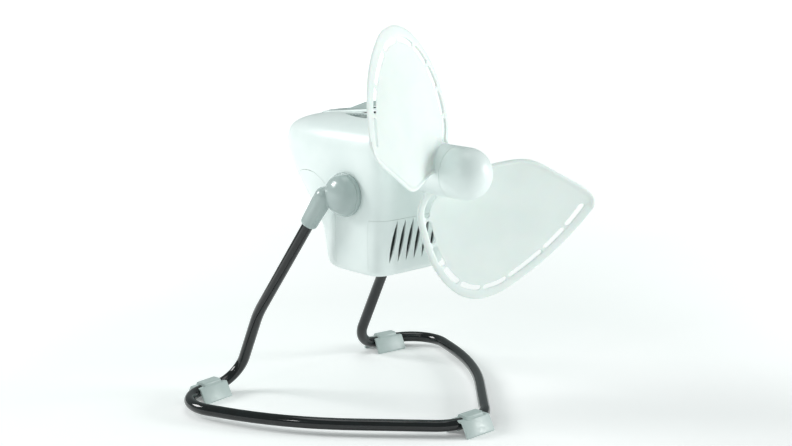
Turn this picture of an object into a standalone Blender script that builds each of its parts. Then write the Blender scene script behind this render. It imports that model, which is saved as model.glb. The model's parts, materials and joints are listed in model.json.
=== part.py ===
"""Two-bladed desk fan on a bent wire stand: solid model of every separate piece.

Millimetres are written as `value * MM`. +Z is up, the fan blows towards -Y,
and the origin lies on the floor under the middle of the fan.
"""
import math

import bmesh
import bpy
import numpy as np
from mathutils import Matrix, Vector

MM = 0.001

# ---- fits -------------------------------------------------------------------
GAP = 0.3 * MM                  # between pieces that touch
RUNNING_GAP = 0.1 * MM          # radial, shaft in bush

# ---- stand ------------------------------------------------------------------
TUBE_RADIUS = 5.0 * MM
TUBE_HEIGHT = 9.0 * MM          # centre of the tube above the floor
BASE_FRONT = -103.9 * MM        # front bar
BASE_REAR = 118.8 * MM          # rear bar where it meets the leg
BASE_REAR_OUTER = 107.8 * MM    # rear bar at its outer corner
BASE_SIDE = 114.9 * MM          # half width at the middle of the side bar
BASE_SIDE_REACH = 101.2 * MM    # how far that middle lies behind the front bar
BASE_REAR_HALF_WIDTH = 157.8 * MM
BASE_NOSE_HALF_WIDTH = 18.7 * MM
KNEE_RADIUS = 97.0 * MM
LEG_FOOT_RADIUS = 24.0 * MM
REAR_CORNER_RADIUS = 34.0 * MM
SIDE_RADIUS = 292.0 * MM
NOSE_RADIUS = 40.0 * MM

FOOT_LENGTH = 32.0 * MM
FOOT_HALF_WIDTH = 13.0 * MM
FOOT_TOP_HALF_WIDTH = 6.6 * MM
FOOT_LIP = 1.6 * MM             # upright edge at the floor
FOOT_ROOF = 4.4 * MM            # roof above the tube's centre
FOOT_MOUTH = 8.4 * MM           # width of the clip's mouth
SADDLE_LENGTH = 19.0 * MM
SADDLE_WALL = 2.4 * MM
REAR_FOOT_X = 107.0 * MM

# ---- tilt pivots ------------------------------------------------------------
PIVOT_Y = 0.0 * MM
PIVOT_Z = 191.5 * MM
ELBOW_RADIUS = 18.6 * MM
ELBOW_DEPTH = 14.6 * MM
WASHER_THICKNESS = 1.8 * MM
ARM_RADIUS = 7.5 * MM
ARM_TOP_RADIUS = 8.2 * MM
SOCKET_DEPTH = 15.0 * MM
ARM_LENGTH = 31.0 * MM
SCREW_RADIUS = 2.5 * MM
SCREW_HEAD_RADIUS = 5.0 * MM
SCREW_HEAD_HEIGHT = 2.6 * MM
SCREW_GRIP = 9.0 * MM           # thread inside the elbow
SPRING_THICKNESS = 3.0 * MM

# ---- housing ----------------------------------------------------------------
HALF_WIDTH = 43.0 * MM
WALL = 2.4 * MM
FRONT_Y = -38.0 * MM
HOUSING_REAR = 108.5 * MM
HOUSING_BOTTOM = 123.0 * MM
HOUSING_TOP = 255.6 * MM
PANEL_TOP = 172.5 * MM          # seam of the vented front panel
PANEL_DEPTH = 13.0 * MM         # how far the panel wraps round the sides
SEAM_RADIUS = 38.0 * MM         # arch of the rear cover
SEAM_CENTRE_Y = 52.7 * MM
SEAM_CENTRE_Z = 167.3 * MM
VENT_COUNT = 6
VENT_PITCH = 9.2 * MM
VENT_LENGTH = 36.5 * MM
VENT_WIDTH = 3.2 * MM
VENT_DROP = 18.7 * MM           # middle of the vents below the panel's top
VENT_OFFSET = -1.8 * MM
VENT_LEAN = math.radians(14.7)
POST_RADIUS = 4.5 * MM          # posts that the motor is bolted to
GLAND_Z = 141.0 * MM
GLAND_BORE = 3.4 * MM
GLAND_RADIUS = 5.6 * MM
GLAND_FLANGE_RADIUS = 8.0 * MM
GLAND_FLANGE = 2.4 * MM
GLAND_LENGTH = 13.0 * MM

# ---- leg, set out from the housing's side -----------------------------------
SOCKET_MOUTH = (HALF_WIDTH + 15.9 * MM, PIVOT_Y + 31.2 * MM, PIVOT_Z - 28.1 * MM)
LEG_KNEE = (HALF_WIDTH + 29.1 * MM, 86.1 * MM, 76.6 * MM)
LEG_FOOT_X = HALF_WIDTH + 28.7 * MM

# ---- switch -----------------------------------------------------------------
SWITCH_Y = 38.0 * MM
SWITCH_SLOPE = math.radians(7.0)
BEZEL_LENGTH = 66.0 * MM
BEZEL_WIDTH = 20.0 * MM
BEZEL_THICKNESS = 2.4 * MM
ROCKER_LENGTH = 52.0 * MM
ROCKER_WIDTH = 14.0 * MM
ROCKER_THROW = math.radians(12.0)
ROCKER_PROUD = 1.2 * MM         # of the rocker's middle above the bezel
ROCKER_BELLY = 7.0 * MM
ROCKER_PIN_DROP = 4.0 * MM
ROCKER_SIDE_GAP = 0.7 * MM
ROCKER_END_GAP = 0.9 * MM
SWITCH_BODY_DEPTH = 10.0 * MM
SWITCH_BODY_WALL = 1.5 * MM

# ---- fan head ---------------------------------------------------------------
AXIS_Z = 216.0 * MM
BLADE_RADIUS = 135.5 * MM
BLADE_THICKNESS = 1.6 * MM
BLADE_MIDDLE = math.radians(140.0)   # direction of blade_2, clockwise from up
BLADE_Y = -70.0 * MM                 # blade surface on the axis
BLADE_COUNT = 2
SLOT_COUNT = 9
SLOT_WIDTH = 4.4 * MM
SLOT_BRIDGE = 2.8 * MM
RIM_AT_TIP = 11.0 * MM               # slot's centre line from the edge, at the tip
RIM_AT_ROOT = 8.0 * MM
HUB_RADIUS = 21.4 * MM
HUB_REAR = -56.0 * MM
HUB_SEAM = -86.0 * MM
HUB_POCKET = 7.0 * MM
HUB_POCKET_RADIUS = 9.0 * MM
NUT_RADIUS = 7.4 * MM
NUT_HEIGHT = 4.0 * MM
CAP_LENGTH = 32.0 * MM
CAP_STRAIGHT = 11.0 * MM
CAP_WALL = 2.2 * MM
BLADE_ROOT_RADIUS = 16.0 * MM

# ---- motor ------------------------------------------------------------------
SHAFT_RADIUS = 4.0 * MM
STATOR_RADIUS = 25.5 * MM
STATOR_FRONT = 2.0 * MM
STATOR_LENGTH = 22.0 * MM
ROTOR_RADIUS = 12.0 * MM
AIR_GAP = 0.5 * MM
THRUST_WASHER_THICKNESS = 1.5 * MM
BRACKET_WALL = 2.0 * MM
BRACKET_DEPTH = 17.0 * MM
BUSH_RADIUS = 7.0 * MM
BUSH_LENGTH = 9.0 * MM
MOTOR_BOLT_CIRCLE = 21.2 * MM
MOTOR_BOLT_RADIUS = 1.5 * MM
MOTOR_BOLT_HEAD_RADIUS = 2.8 * MM
MOTOR_BOLT_HEAD = 2.4 * MM
MOTOR_BOLT_GRIP = 6.0 * MM      # thread inside the posts
COIL_HEIGHT = 7.5 * MM

for stale in list(bpy.data.objects):
    bpy.data.objects.remove(stale, do_unlink=True)

fan = bpy.data.collections.new("desk_fan")
tools = bpy.data.collections.new("cutters")
bpy.context.scene.collection.children.link(fan)
bpy.context.scene.collection.children.link(tools)


# ---- materials --------------------------------------------------------------
def finish(name, color, roughness, metallic=0.0):
    """A plain Principled material."""
    made = bpy.data.materials.new(name)
    made.use_nodes = True
    shader = made.node_tree.nodes["Principled BSDF"]
    shader.inputs["Base Color"].default_value = (*color, 1.0)
    shader.inputs["Roughness"].default_value = roughness
    shader.inputs["Metallic"].default_value = metallic
    return made


WHITE = finish("white_plastic", (0.86, 0.91, 0.90), 0.35)
BLADE_WHITE = finish("blade_plastic", (0.84, 0.90, 0.88), 0.4)
GREY = finish("grey_plastic", (0.36, 0.43, 0.42), 0.3)
BLACK = finish("black_enamel", (0.012, 0.014, 0.014), 0.15)
STEEL = finish("zinc_steel", (0.62, 0.62, 0.60), 0.35, 1.0)
LAMINATION = finish("lamination_steel", (0.22, 0.22, 0.23), 0.5, 1.0)
COPPER = finish("enamelled_copper", (0.55, 0.22, 0.09), 0.4, 1.0)
BRASS = finish("bronze_bush", (0.55, 0.38, 0.16), 0.4, 1.0)
DARK = finish("dark_plastic", (0.05, 0.055, 0.055), 0.5)


# ---- building blocks --------------------------------------------------------
def place(name, mesh, material, tool=False):
    """Put a mesh in the model, or among the hidden cutters."""
    made = bpy.data.objects.new(name, mesh)
    if tool:
        tools.objects.link(made)
        made.hide_render = True
        made.display_type = "WIRE"
    else:
        fan.objects.link(made)
        mesh.materials.append(material)
    return made


def aim(axis):
    """Rotation that turns local +Z to the given direction."""
    return Vector((0, 0, 1)).rotation_difference(Vector(axis)).to_matrix().to_4x4()


def smooth(mesh, angle=35.0):
    """Round faces shade smooth, corners stay sharp."""
    mesh.shade_smooth()
    mesh.set_sharp_from_angle(angle=math.radians(angle))


def settle(made):
    """Turn an object's modifiers or curve into a plain mesh of its own, place included."""
    bpy.context.view_layer.update()
    evaluated = made.evaluated_get(bpy.context.evaluated_depsgraph_get())
    mesh = bpy.data.meshes.new_from_object(evaluated)
    mesh.transform(made.matrix_world)
    work = bmesh.new()
    work.from_mesh(mesh)
    bmesh.ops.remove_doubles(work, verts=work.verts, dist=0.00001)
    bmesh.ops.recalc_face_normals(work, faces=work.faces)
    work.to_mesh(mesh)
    work.free()
    mesh.name = made.name
    bpy.data.objects.remove(made, do_unlink=True)
    mesh.materials.clear()
    return mesh


def turned(name, profile, centre, axis, material, steps=24, tool=False, closed=False):
    """A turned piece: (radius, height) points, top to bottom on the outside, about an axis."""
    points = [(radius, 0.0, height) for radius, height in profile]
    edges = [(i, i + 1) for i in range(len(points) - 1)]
    if closed:
        edges.append((len(points) - 1, 0))
    mesh = bpy.data.meshes.new(name)
    mesh.from_pydata(points, edges, [])
    made = bpy.data.objects.new(name, mesh)
    bpy.context.scene.collection.objects.link(made)
    screw = made.modifiers.new("turn", "SCREW")
    screw.axis = "Z"
    screw.steps = steps
    screw.render_steps = steps
    screw.use_merge_vertices = True
    screw.merge_threshold = 0.00002
    made.matrix_world = Matrix.Translation(centre) @ aim(axis)
    shape = settle(made)
    smooth(shape)
    return place(name, shape, material, tool)


def rod(name, radius, start, length, axis, material=None, steps=16, tool=True):
    """A plain cylinder from a start point along an axis."""
    profile = [(0.0, length), (radius, length), (radius, 0.0), (0.0, 0.0)]
    return turned(name, profile, start, axis, material, steps, tool)


def ring(name, inner, outer, start, length, axis, material=None, steps=24, tool=False):
    """A flat ring or bush from a start point along an axis."""
    profile = [(inner, length), (outer, length), (outer, 0.0), (inner, 0.0)]
    return turned(name, profile, start, axis, material, steps, tool, closed=True)


def block(name, low, high, material=None, tool=True, round_edge=0.0):
    """A box between two corners, with its edges rounded if asked."""
    low, high = Vector(low), Vector(high)
    work = bmesh.new()
    bmesh.ops.create_cube(work, size=1.0)
    size = high - low
    bmesh.ops.scale(work, vec=size, verts=work.verts)
    bmesh.ops.translate(work, vec=(low + high) / 2, verts=work.verts)
    mesh = bpy.data.meshes.new(name)
    work.to_mesh(mesh)
    work.free()
    made = place(name, mesh, material, tool)
    if round_edge:
        bevel = made.modifiers.new("round", "BEVEL")
        bevel.width = round_edge
        bevel.segments = 2
        smooth(mesh)
    return made


def sheet(name, loops, depth, plane):
    """A flat outline with holes, `depth` thick and centred, laid in the given plane.

    The outline is drawn in local X and Y; `plane` is the matrix that lays it down.
    """
    outline = bpy.data.curves.new(name, "CURVE")
    outline.dimensions = "2D"
    outline.fill_mode = "BOTH"
    outline.extrude = depth / 2
    for loop in loops:
        spline = outline.splines.new("POLY")
        spline.points.add(len(loop) - 1)
        for point, (x, y) in zip(spline.points, loop):
            point.co = (x, y, 0.0, 1.0)
        spline.use_cyclic_u = True
    made = bpy.data.objects.new(name, outline)
    bpy.context.scene.collection.objects.link(made)
    made.matrix_world = plane
    return settle(made)


def cut(made, *cutters, operation="DIFFERENCE"):
    """Cut or join an object with hidden tools."""
    for cutter in cutters:
        boolean = made.modifiers.new(cutter.name, "BOOLEAN")
        boolean.operation = operation
        boolean.solver = "EXACT"
        boolean.object = cutter


def join(made, *others):
    """Weld hidden tool shapes on to an object."""
    cut(made, *others, operation="UNION")


UPRIGHT = Matrix.Rotation(math.radians(90), 4, "X")      # local X, Y to world X, Z
SIDEWAYS = Matrix(((0, 0, 1, 0), (1, 0, 0, 0), (0, 1, 0, 0), (0, 0, 0, 1)))   # to world Y, Z


def arc(centre, radius, start, stop, count):
    """Points on a circular arc, angles in degrees from local +X."""
    angles = np.radians(np.linspace(start, stop, count))
    return [(centre[0] + radius * math.cos(a), centre[1] + radius * math.sin(a)) for a in angles]


def through(points, per_span):
    """A smooth open curve through rows of values (Catmull-Rom), ends kept."""
    rows = np.array(points, dtype=float)
    padded = np.vstack([2 * rows[0] - rows[1], rows, 2 * rows[-1] - rows[-2]])
    made = []
    for i in range(len(rows) - 1):
        a, b, c, d = padded[i:i + 4]
        for t in np.linspace(0, 1, per_span, endpoint=False):
            made.append(0.5 * (2 * b + (c - a) * t + (2 * a - 5 * b + 4 * c - d) * t ** 2
                               + (3 * b - a - 3 * c + d) * t ** 3))
    made.append(rows[-1])
    return np.array(made)


# ---- stand ------------------------------------------------------------------
def rounded_path(corners, radii, step_degrees=12.0):
    """Straight runs joined by arcs of the given radii, as a list of points."""
    path = [Vector(corners[0])]
    for i, radius in enumerate(radii, start=1):
        before, corner, after = Vector(corners[i - 1]), Vector(corners[i]), Vector(corners[i + 1])
        back, ahead = (before - corner).normalized(), (after - corner).normalized()
        half = back.angle(ahead) / 2
        bisector = (back + ahead).normalized()
        centre = corner + bisector * (radius / math.sin(half))
        start = (corner + back * (radius / math.tan(half)) - centre).normalized()
        stop = (corner + ahead * (radius / math.tan(half)) - centre).normalized()
        across = (stop - start * start.dot(stop)).normalized()
        sweep = start.angle(stop)
        count = max(2, math.ceil(math.degrees(sweep) / step_degrees))
        for k in range(count + 1):
            turn = sweep * k / count
            path.append(centre + (start * math.cos(turn) + across * math.sin(turn)) * radius)
    path.append(Vector(corners[-1]))
    return path


def leg_axis():
    """Unit direction of the upper leg, from the knee to the elbow socket."""
    return (Vector(SOCKET_MOUTH) - Vector(LEG_KNEE)).normalized()


def tube_route():
    """Centre line of the bent tube: up each leg, back along the floor, round a wide front loop."""
    top = Vector(SOCKET_MOUTH) + leg_axis() * (SOCKET_DEPTH - GAP)
    half = [top, LEG_KNEE,
            (LEG_FOOT_X, BASE_REAR, TUBE_HEIGHT),
            (BASE_REAR_HALF_WIDTH, BASE_REAR_OUTER, TUBE_HEIGHT),
            (BASE_SIDE, BASE_FRONT + BASE_SIDE_REACH, TUBE_HEIGHT),
            (BASE_NOSE_HALF_WIDTH, BASE_FRONT, TUBE_HEIGHT),
            (0.0, BASE_FRONT, TUBE_HEIGHT)]
    radii = [KNEE_RADIUS, LEG_FOOT_RADIUS, REAR_CORNER_RADIUS, SIDE_RADIUS, NOSE_RADIUS]
    right = rounded_path(half, radii)
    left = [Vector((-p.x, p.y, p.z)) for p in reversed(right[:-1])]
    return right + left


def bent_tube(name, radius, material, tool=False):
    """A round bar along the stand's route."""
    curve = bpy.data.curves.new(name, "CURVE")
    curve.dimensions = "3D"
    curve.bevel_depth = radius
    curve.bevel_resolution = 4
    curve.use_fill_caps = True
    spline = curve.splines.new("POLY")
    route = tube_route()
    spline.points.add(len(route) - 1)
    for point, place_at in zip(spline.points, route):
        point.co = (*place_at, 1.0)
    made = bpy.data.objects.new(name, curve)
    bpy.context.scene.collection.objects.link(made)
    shape = settle(made)
    smooth(shape)
    return place(name, shape, material, tool)


def foot(name, centre, turn, bore):
    """A clip foot: flared skirts, a saddle over the tube and a mouth that clips on from below."""
    roof = TUBE_HEIGHT + FOOT_ROOF
    outline = [(-FOOT_HALF_WIDTH, 0.0), (FOOT_HALF_WIDTH, 0.0), (FOOT_HALF_WIDTH, FOOT_LIP),
               (FOOT_TOP_HALF_WIDTH, roof), (-FOOT_TOP_HALF_WIDTH, roof),
               (-FOOT_HALF_WIDTH, FOOT_LIP)]
    lay = Matrix.Translation(centre) @ Matrix.Rotation(turn, 4, "Z")
    body = place(name, sheet(name, [outline], FOOT_LENGTH, lay @ SIDEWAYS), GREY)
    along = (lay.to_3x3() @ Vector((1, 0, 0))).normalized()
    tube_centre = Vector(centre) + Vector((0, 0, TUBE_HEIGHT))
    saddle = rod(name + "_saddle", TUBE_RADIUS + SADDLE_WALL,
                 tube_centre - along * SADDLE_LENGTH / 2, SADDLE_LENGTH, along)
    half, below = FOOT_MOUTH / 2, -5 * MM
    mouth_mesh = sheet(name + "_mouth", [[(-half, below), (half, below), (half, TUBE_HEIGHT),
                                          (-half, TUBE_HEIGHT)]], 2 * FOOT_LENGTH, lay @ SIDEWAYS)
    mouth = place(name + "_mouth", mouth_mesh, None, tool=True)
    join(body, saddle)
    cut(body, bore, mouth)


def feet():
    """One foot under the nose of the loop and two under the rear bar."""
    rear_bar = Vector((BASE_REAR_HALF_WIDTH - LEG_FOOT_X, BASE_REAR_OUTER - BASE_REAR, 0.0))
    share = (REAR_FOOT_X - LEG_FOOT_X) / rear_bar.x
    rear_y = BASE_REAR + rear_bar.y * share
    slant = math.atan2(rear_bar.y, rear_bar.x)
    bore = bent_tube("tube_clearance", TUBE_RADIUS + GAP, None, tool=True)
    foot("foot_front", (0.0, BASE_FRONT, 0.0), 0.0, bore)
    foot("foot_rear_right", (REAR_FOOT_X, rear_y, 0.0), slant, bore)
    foot("foot_rear_left", (-REAR_FOOT_X, rear_y, 0.0), -slant, bore)


# ---- tilt pivots ------------------------------------------------------------
WASHER_START = HALF_WIDTH + GAP
ELBOW_START = WASHER_START + WASHER_THICKNESS + GAP


def elbow(side, sign):
    """A domed pivot disc with an arm that takes the end of the tube."""
    name = "elbow_" + side
    outward = Vector((sign, 0, 0))
    centre = Vector((0, PIVOT_Y, PIVOT_Z))
    dome = [(0.0, 1.0), (0.42, 0.97), (0.70, 0.86), (0.88, 0.66), (0.97, 0.42), (1.0, 0.18)]
    profile = [(r * ELBOW_RADIUS, h * ELBOW_DEPTH) for r, h in dome]
    profile += [(ELBOW_RADIUS, 0.0), (0.0, 0.0)]
    body = turned(name, profile, centre + outward * ELBOW_START, outward, GREY, steps=28)
    mouth = Vector(SOCKET_MOUTH)
    along = leg_axis()
    mouth.x *= sign
    along.x *= sign
    cap = [(ARM_TOP_RADIUS * math.sin(a), ARM_LENGTH + ARM_TOP_RADIUS * math.cos(a))
           for a in np.radians([0, 27, 54, 80])]
    profile = [(max(r, 0.0), h) for r, h in cap] + [(ARM_RADIUS, 0.0), (0.0, 0.0)]
    arm = turned(name + "_arm", profile, mouth, along, None, steps=20, tool=True)
    socket = rod(name + "_socket", TUBE_RADIUS + GAP, mouth - along * 2 * MM,
                 SOCKET_DEPTH + 2 * MM, along)
    hole = rod(name + "_hole", SCREW_RADIUS + GAP, centre + outward * (ELBOW_START - MM),
               SCREW_GRIP + GAP + MM, outward)
    join(body, arm)
    cut(body, socket, hole)


def pivot(side, sign):
    """Friction washer, spring washer and screw that hold the housing to an elbow."""
    outward = Vector((sign, 0, 0))
    centre = Vector((0, PIVOT_Y, PIVOT_Z))
    ring("tilt_washer_" + side, SCREW_RADIUS + 0.8 * MM, ELBOW_RADIUS - 0.6 * MM,
         centre + outward * WASHER_START, WASHER_THICKNESS, outward, DARK)
    spring_start = HALF_WIDTH - WALL - GAP - SPRING_THICKNESS
    ring("tilt_spring_washer_" + side, SCREW_RADIUS + 0.5 * MM, SCREW_HEAD_RADIUS + 1.5 * MM,
         centre + outward * spring_start, SPRING_THICKNESS, outward, STEEL, steps=16)
    head_start = spring_start - GAP - SCREW_HEAD_HEIGHT
    shank = ELBOW_START + SCREW_GRIP - head_start
    profile = [(0.0, shank), (SCREW_RADIUS - 0.5 * MM, shank), (SCREW_RADIUS, shank - 0.8 * MM),
               (SCREW_RADIUS, SCREW_HEAD_HEIGHT), (SCREW_HEAD_RADIUS, SCREW_HEAD_HEIGHT),
               (SCREW_HEAD_RADIUS, 0.6 * MM), (SCREW_HEAD_RADIUS - 0.8 * MM, 0.0), (0.0, 0.0)]
    turned("tilt_screw_" + side, profile, centre + outward * head_start, outward, STEEL, steps=16)


# ---- housing ----------------------------------------------------------------
# level sections, bottom to top, in millimetres: height above the bottom, then how far the
# rear, the front and the sides are drawn in from the housing's widest
SECTIONS = [(0.0, 71.5, 10.0, 10.0), (1.6, 66.5, 4.5, 4.5), (6.0, 63.0, 1.0, 1.0),
            (15.0, 61.5, 0.0, 0.0), (30.0, 58.0, 0.0, 0.0), (45.0, 47.0, 0.0, 0.0),
            (60.0, 30.5, 0.0, 0.0), (75.0, 15.5, 0.0, 0.0), (89.0, 5.0, 0.0, 0.0),
            (103.0, 0.0, 0.0, 0.2), (113.0, 2.5, 0.4, 1.8), (120.0, 11.5, 2.0, 5.4),
            (125.5, 28.5, 5.5, 12.0), (130.0, 53.5, 11.0, 21.0), (132.6, 77.5, 20.0, 31.0)]
PLAN_POINTS = 36
FRONT_SQUARENESS = 6.0
REAR_SQUARENESS = 2.7


def sections(inset):
    """Heights, rear, front and half widths of the level sections, drawn in by `inset` all round."""
    rows = np.array(SECTIONS) * MM
    tall = HOUSING_TOP - HOUSING_BOTTOM - 2 * inset
    heights = HOUSING_BOTTOM + inset + rows[:, 0] / rows[-1, 0] * tall
    return (heights, HOUSING_REAR - rows[:, 1] - inset, FRONT_Y + rows[:, 2] + inset,
            HALF_WIDTH - rows[:, 3] - inset)


def housing_solid(name, inset):
    """Loft of level superellipse sections, drawn in by `inset` all round."""
    heights, rear, front, width = sections(inset)
    angle = np.linspace(0, 2 * math.pi, PLAN_POINTS, endpoint=False)
    cosine, sine = np.cos(angle), np.sin(angle)
    power = np.where(sine > 0, 2 / REAR_SQUARENESS, 2 / FRONT_SQUARENESS)
    across = np.sign(cosine) * np.abs(cosine) ** power
    along = np.abs(sine) ** power
    work = bmesh.new()
    rings = []
    for z, back, fore, half in zip(heights, rear, front, width):
        middle = fore + min(half, (back - fore) / 2)
        y = np.where(sine > 0, middle + (back - middle) * along, middle + (fore - middle) * along)
        rings.append([work.verts.new((half * a, b, z)) for a, b in zip(across, y)])
    for lower, upper in zip(rings[:-1], rings[1:]):
        for i in range(PLAN_POINTS):
            j = (i + 1) % PLAN_POINTS
            work.faces.new((lower[i], lower[j], upper[j], upper[i]))
    work.faces.new(list(reversed(rings[0])))
    work.faces.new(rings[-1])
    mesh = bpy.data.meshes.new(name)
    work.to_mesh(mesh)
    work.free()
    return mesh


def rear_seam(grow):
    """Side outline of the rear cover: an arch over straight flanks, open to the rear."""
    radius = SEAM_RADIUS + grow
    arch = arc((SEAM_CENTRE_Y, SEAM_CENTRE_Z), radius, 180, 0, 25)
    floor = 100 * MM
    reach = SEAM_CENTRE_Y + radius
    return [(SEAM_CENTRE_Y - radius, floor)] + arch + [(reach + 60 * MM, SEAM_CENTRE_Z),
                                                       (reach + 60 * MM, floor)]


def lens(length, width, count=9):
    """A pointed leaf outline, standing along local Y."""
    t = np.linspace(0, 1, count)
    half = width / 2 * np.sin(math.pi * t) ** 0.8
    y = (t - 0.5) * length
    right = list(zip(half, y))
    left = list(zip(-half[-2:0:-1], y[-2:0:-1]))
    return right + left


def front_box(grow):
    """The region of the vented front panel, drawn in by `grow` where it meets the housing."""
    reach = HALF_WIDTH + 20 * MM
    return ((-reach, FRONT_Y - 20 * MM, 100 * MM),
            (reach, FRONT_Y + PANEL_DEPTH - grow, PANEL_TOP - grow))


MOTOR_AXIS = Vector((0.0, 0.0, AXIS_Z))
FRONT_INNER = FRONT_Y + WALL
BRACKET_FRONT = STATOR_FRONT - GAP - BRACKET_DEPTH
BRACKET_REAR = STATOR_FRONT + STATOR_LENGTH + GAP
BOLT_ANGLES = [math.radians(a) for a in (45, 225)]


def bolt_places():
    """Centres of the two long motor bolts, on the bolt circle."""
    return [Vector((MOTOR_BOLT_CIRCLE * math.cos(a), 0.0, AXIS_Z + MOTOR_BOLT_CIRCLE * math.sin(a)))
            for a in BOLT_ANGLES]


def wall_piece(name, hollow, region, operation):
    """A shell of the housing's wall, kept inside or outside a region."""
    piece = place(name, housing_solid(name, 0.0), WHITE)
    cut(piece, hollow)
    cut(piece, region, operation=operation)
    return piece


def rear_region(name, grow):
    """Hidden solid that holds the rear cover."""
    return place(name, sheet(name, [rear_seam(grow)], 4 * HALF_WIDTH, SIDEWAYS), None, tool=True)


def main_housing(hollow):
    """The upper shell, with its pivot holes, shaft hole and the posts of the motor."""
    main = wall_piece("main_housing", hollow, rear_region("rear_region", 0.0), "DIFFERENCE")
    cut(main, block("front_region", *front_box(0.0)))
    pivot_hole = rod("pivot_hole", SCREW_RADIUS + 0.5 * MM,
                     Vector((-HALF_WIDTH - 5 * MM, PIVOT_Y, PIVOT_Z)), 2 * HALF_WIDTH + 10 * MM,
                     (1, 0, 0))
    shaft_hole = rod("shaft_hole", SHAFT_RADIUS + 3.0 * MM,
                     MOTOR_AXIS + Vector((0, FRONT_Y - 5 * MM, 0)), 20 * MM, (0, 1, 0))
    root = FRONT_INNER - WALL / 2
    bore_depth = MOTOR_BOLT_GRIP + 2 * MM
    for i, centre in enumerate(bolt_places(), start=1):
        post = rod(f"motor_post_{i}", POST_RADIUS, centre + Vector((0, root, 0)),
                   BRACKET_FRONT - GAP - root, (0, 1, 0))
        bore = rod(f"motor_post_bore_{i}", MOTOR_BOLT_RADIUS + GAP,
                   centre + Vector((0, BRACKET_FRONT - bore_depth, 0)), bore_depth + 4 * MM,
                   (0, 1, 0))
        join(main, post)
        cut(main, bore)
    cut(main, pivot_hole, shaft_hole)
    return main


def switch_frame():
    """Local frame of the switch: +Y along it towards the rear, +Z out of the bezel."""
    return (Matrix.Translation((0, SWITCH_Y, HOUSING_TOP))
            @ Matrix.Rotation(-SWITCH_SLOPE, 4, "X"))


def tilted_block(name, low, high, material=None, tool=True, round_edge=0.0):
    """A box in the switch's frame."""
    made = block(name, low, high, material, tool, round_edge)
    made.matrix_world = switch_frame()
    return made


def switch(main):
    """Bezel plate, switch body under it and the rocker between them."""
    half_l, half_w = BEZEL_LENGTH / 2, BEZEL_WIDTH / 2
    well_l, well_w = ROCKER_LENGTH / 2 + ROCKER_END_GAP, ROCKER_WIDTH / 2 + ROCKER_SIDE_GAP
    body_l, body_w = well_l + SWITCH_BODY_WALL, well_w + SWITCH_BODY_WALL
    top = -BEZEL_THICKNESS - GAP
    floor = top - SWITCH_BODY_DEPTH
    above = 12 * MM
    bezel = tilted_block("switch_bezel", (-half_w, -half_l, -BEZEL_THICKNESS), (half_w, half_l, 0),
                         WHITE, tool=False, round_edge=0.6 * MM)
    cut(bezel, tilted_block("bezel_window", (-well_w, -well_l, -above), (well_w, well_l, above)))
    body = tilted_block("switch_body", (-body_w, -body_l, floor), (body_w, body_l, top), DARK,
                        tool=False)
    cut(body, tilted_block("switch_well", (-well_w, -well_l, floor + SWITCH_BODY_WALL),
                           (well_w, well_l, above)))
    # the housing gives way to the body and lies under the bezel
    pocket = tilted_block("switch_pocket", (-body_w - GAP, -body_l - GAP, floor - 6 * MM),
                          (body_w + GAP, body_l + GAP, above))
    seat = tilted_block("bezel_seat", (-half_w - GAP, -half_l - GAP, top),
                        (half_w + GAP, half_l + GAP, above))
    cut(main, pocket, seat)
    rocker()


def rocker():
    """A V-topped rocker, its rear half pressed in at rest, on a pin across its middle."""
    half = ROCKER_LENGTH / 2
    rise = half * math.tan(ROCKER_THROW)
    shoulder = -1.0 * MM
    # the raised end stays within the rocker's half length of the pin, so that it clears the bezel
    tip = math.sqrt(half ** 2 - (ROCKER_PIN_DROP + ROCKER_PROUD + rise) ** 2)
    outline = [(-tip, ROCKER_PROUD + rise * tip / half), (0.0, ROCKER_PROUD),
               (half, ROCKER_PROUD - 0.4 * MM), (half, shoulder),
               (0.62 * half, -0.46 * ROCKER_BELLY), (0.25 * half, -ROCKER_BELLY),
               (-0.25 * half, -ROCKER_BELLY), (-half, shoulder + 0.35 * rise)]
    mesh = sheet("switch_rocker", [outline], ROCKER_WIDTH, switch_frame() @ SIDEWAYS)
    made = place("switch_rocker", mesh, GREY)
    pin = switch_frame() @ Vector((0, 0, -ROCKER_PIN_DROP))
    mesh.transform(Matrix.Translation(-pin))
    made.location = pin
    bevel = made.modifiers.new("round", "BEVEL")
    bevel.width = 0.5 * MM
    bevel.segments = 2
    smooth(mesh)


def front_panel(hollow):
    """The lower front, wrapped round both corners, with slanted spindle-shaped vents."""
    front = wall_piece("front_panel", hollow, block("front_region_in", *front_box(GAP)),
                       "INTERSECT")
    for i in range(VENT_COUNT):
        x = (i - (VENT_COUNT - 1) / 2) * VENT_PITCH + VENT_OFFSET
        lay = (Matrix.Translation((x, FRONT_Y, PANEL_TOP - VENT_DROP))
               @ Matrix.Rotation(VENT_LEAN, 4, "Y") @ UPRIGHT)
        mesh = sheet(f"vent_{i + 1}", [lens(VENT_LENGTH, VENT_WIDTH)], 6 * WALL, lay)
        cut(front, place(f"vent_{i + 1}", mesh, None, tool=True))


def rear_cover(hollow):
    """The arched lower rear, with a round gland where the mains lead enters."""
    rear = wall_piece("rear_cover", hollow, rear_region("rear_region_in", -GAP), "INTERSECT")
    heights, rears, _, _ = sections(WALL)
    lowest = float(np.interp(GLAND_Z - GLAND_FLANGE_RADIUS, heights, rears))
    roundness = 1.5 * MM                       # the wall falls away beside the middle
    start = Vector((0.0, lowest - roundness - GAP - GLAND_FLANGE, GLAND_Z))
    outward = Vector((0, 1, 0))
    cut(rear, rod("gland_hole", GLAND_RADIUS + GAP, start, 2 * GLAND_LENGTH, outward))
    profile = [(GLAND_BORE, GLAND_LENGTH), (GLAND_RADIUS, GLAND_LENGTH),
               (GLAND_RADIUS, GLAND_FLANGE), (GLAND_FLANGE_RADIUS, GLAND_FLANGE),
               (GLAND_FLANGE_RADIUS, 0.0), (GLAND_BORE, 0.0)]
    turned("cord_gland", profile, start, outward, DARK, closed=True)


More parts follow.
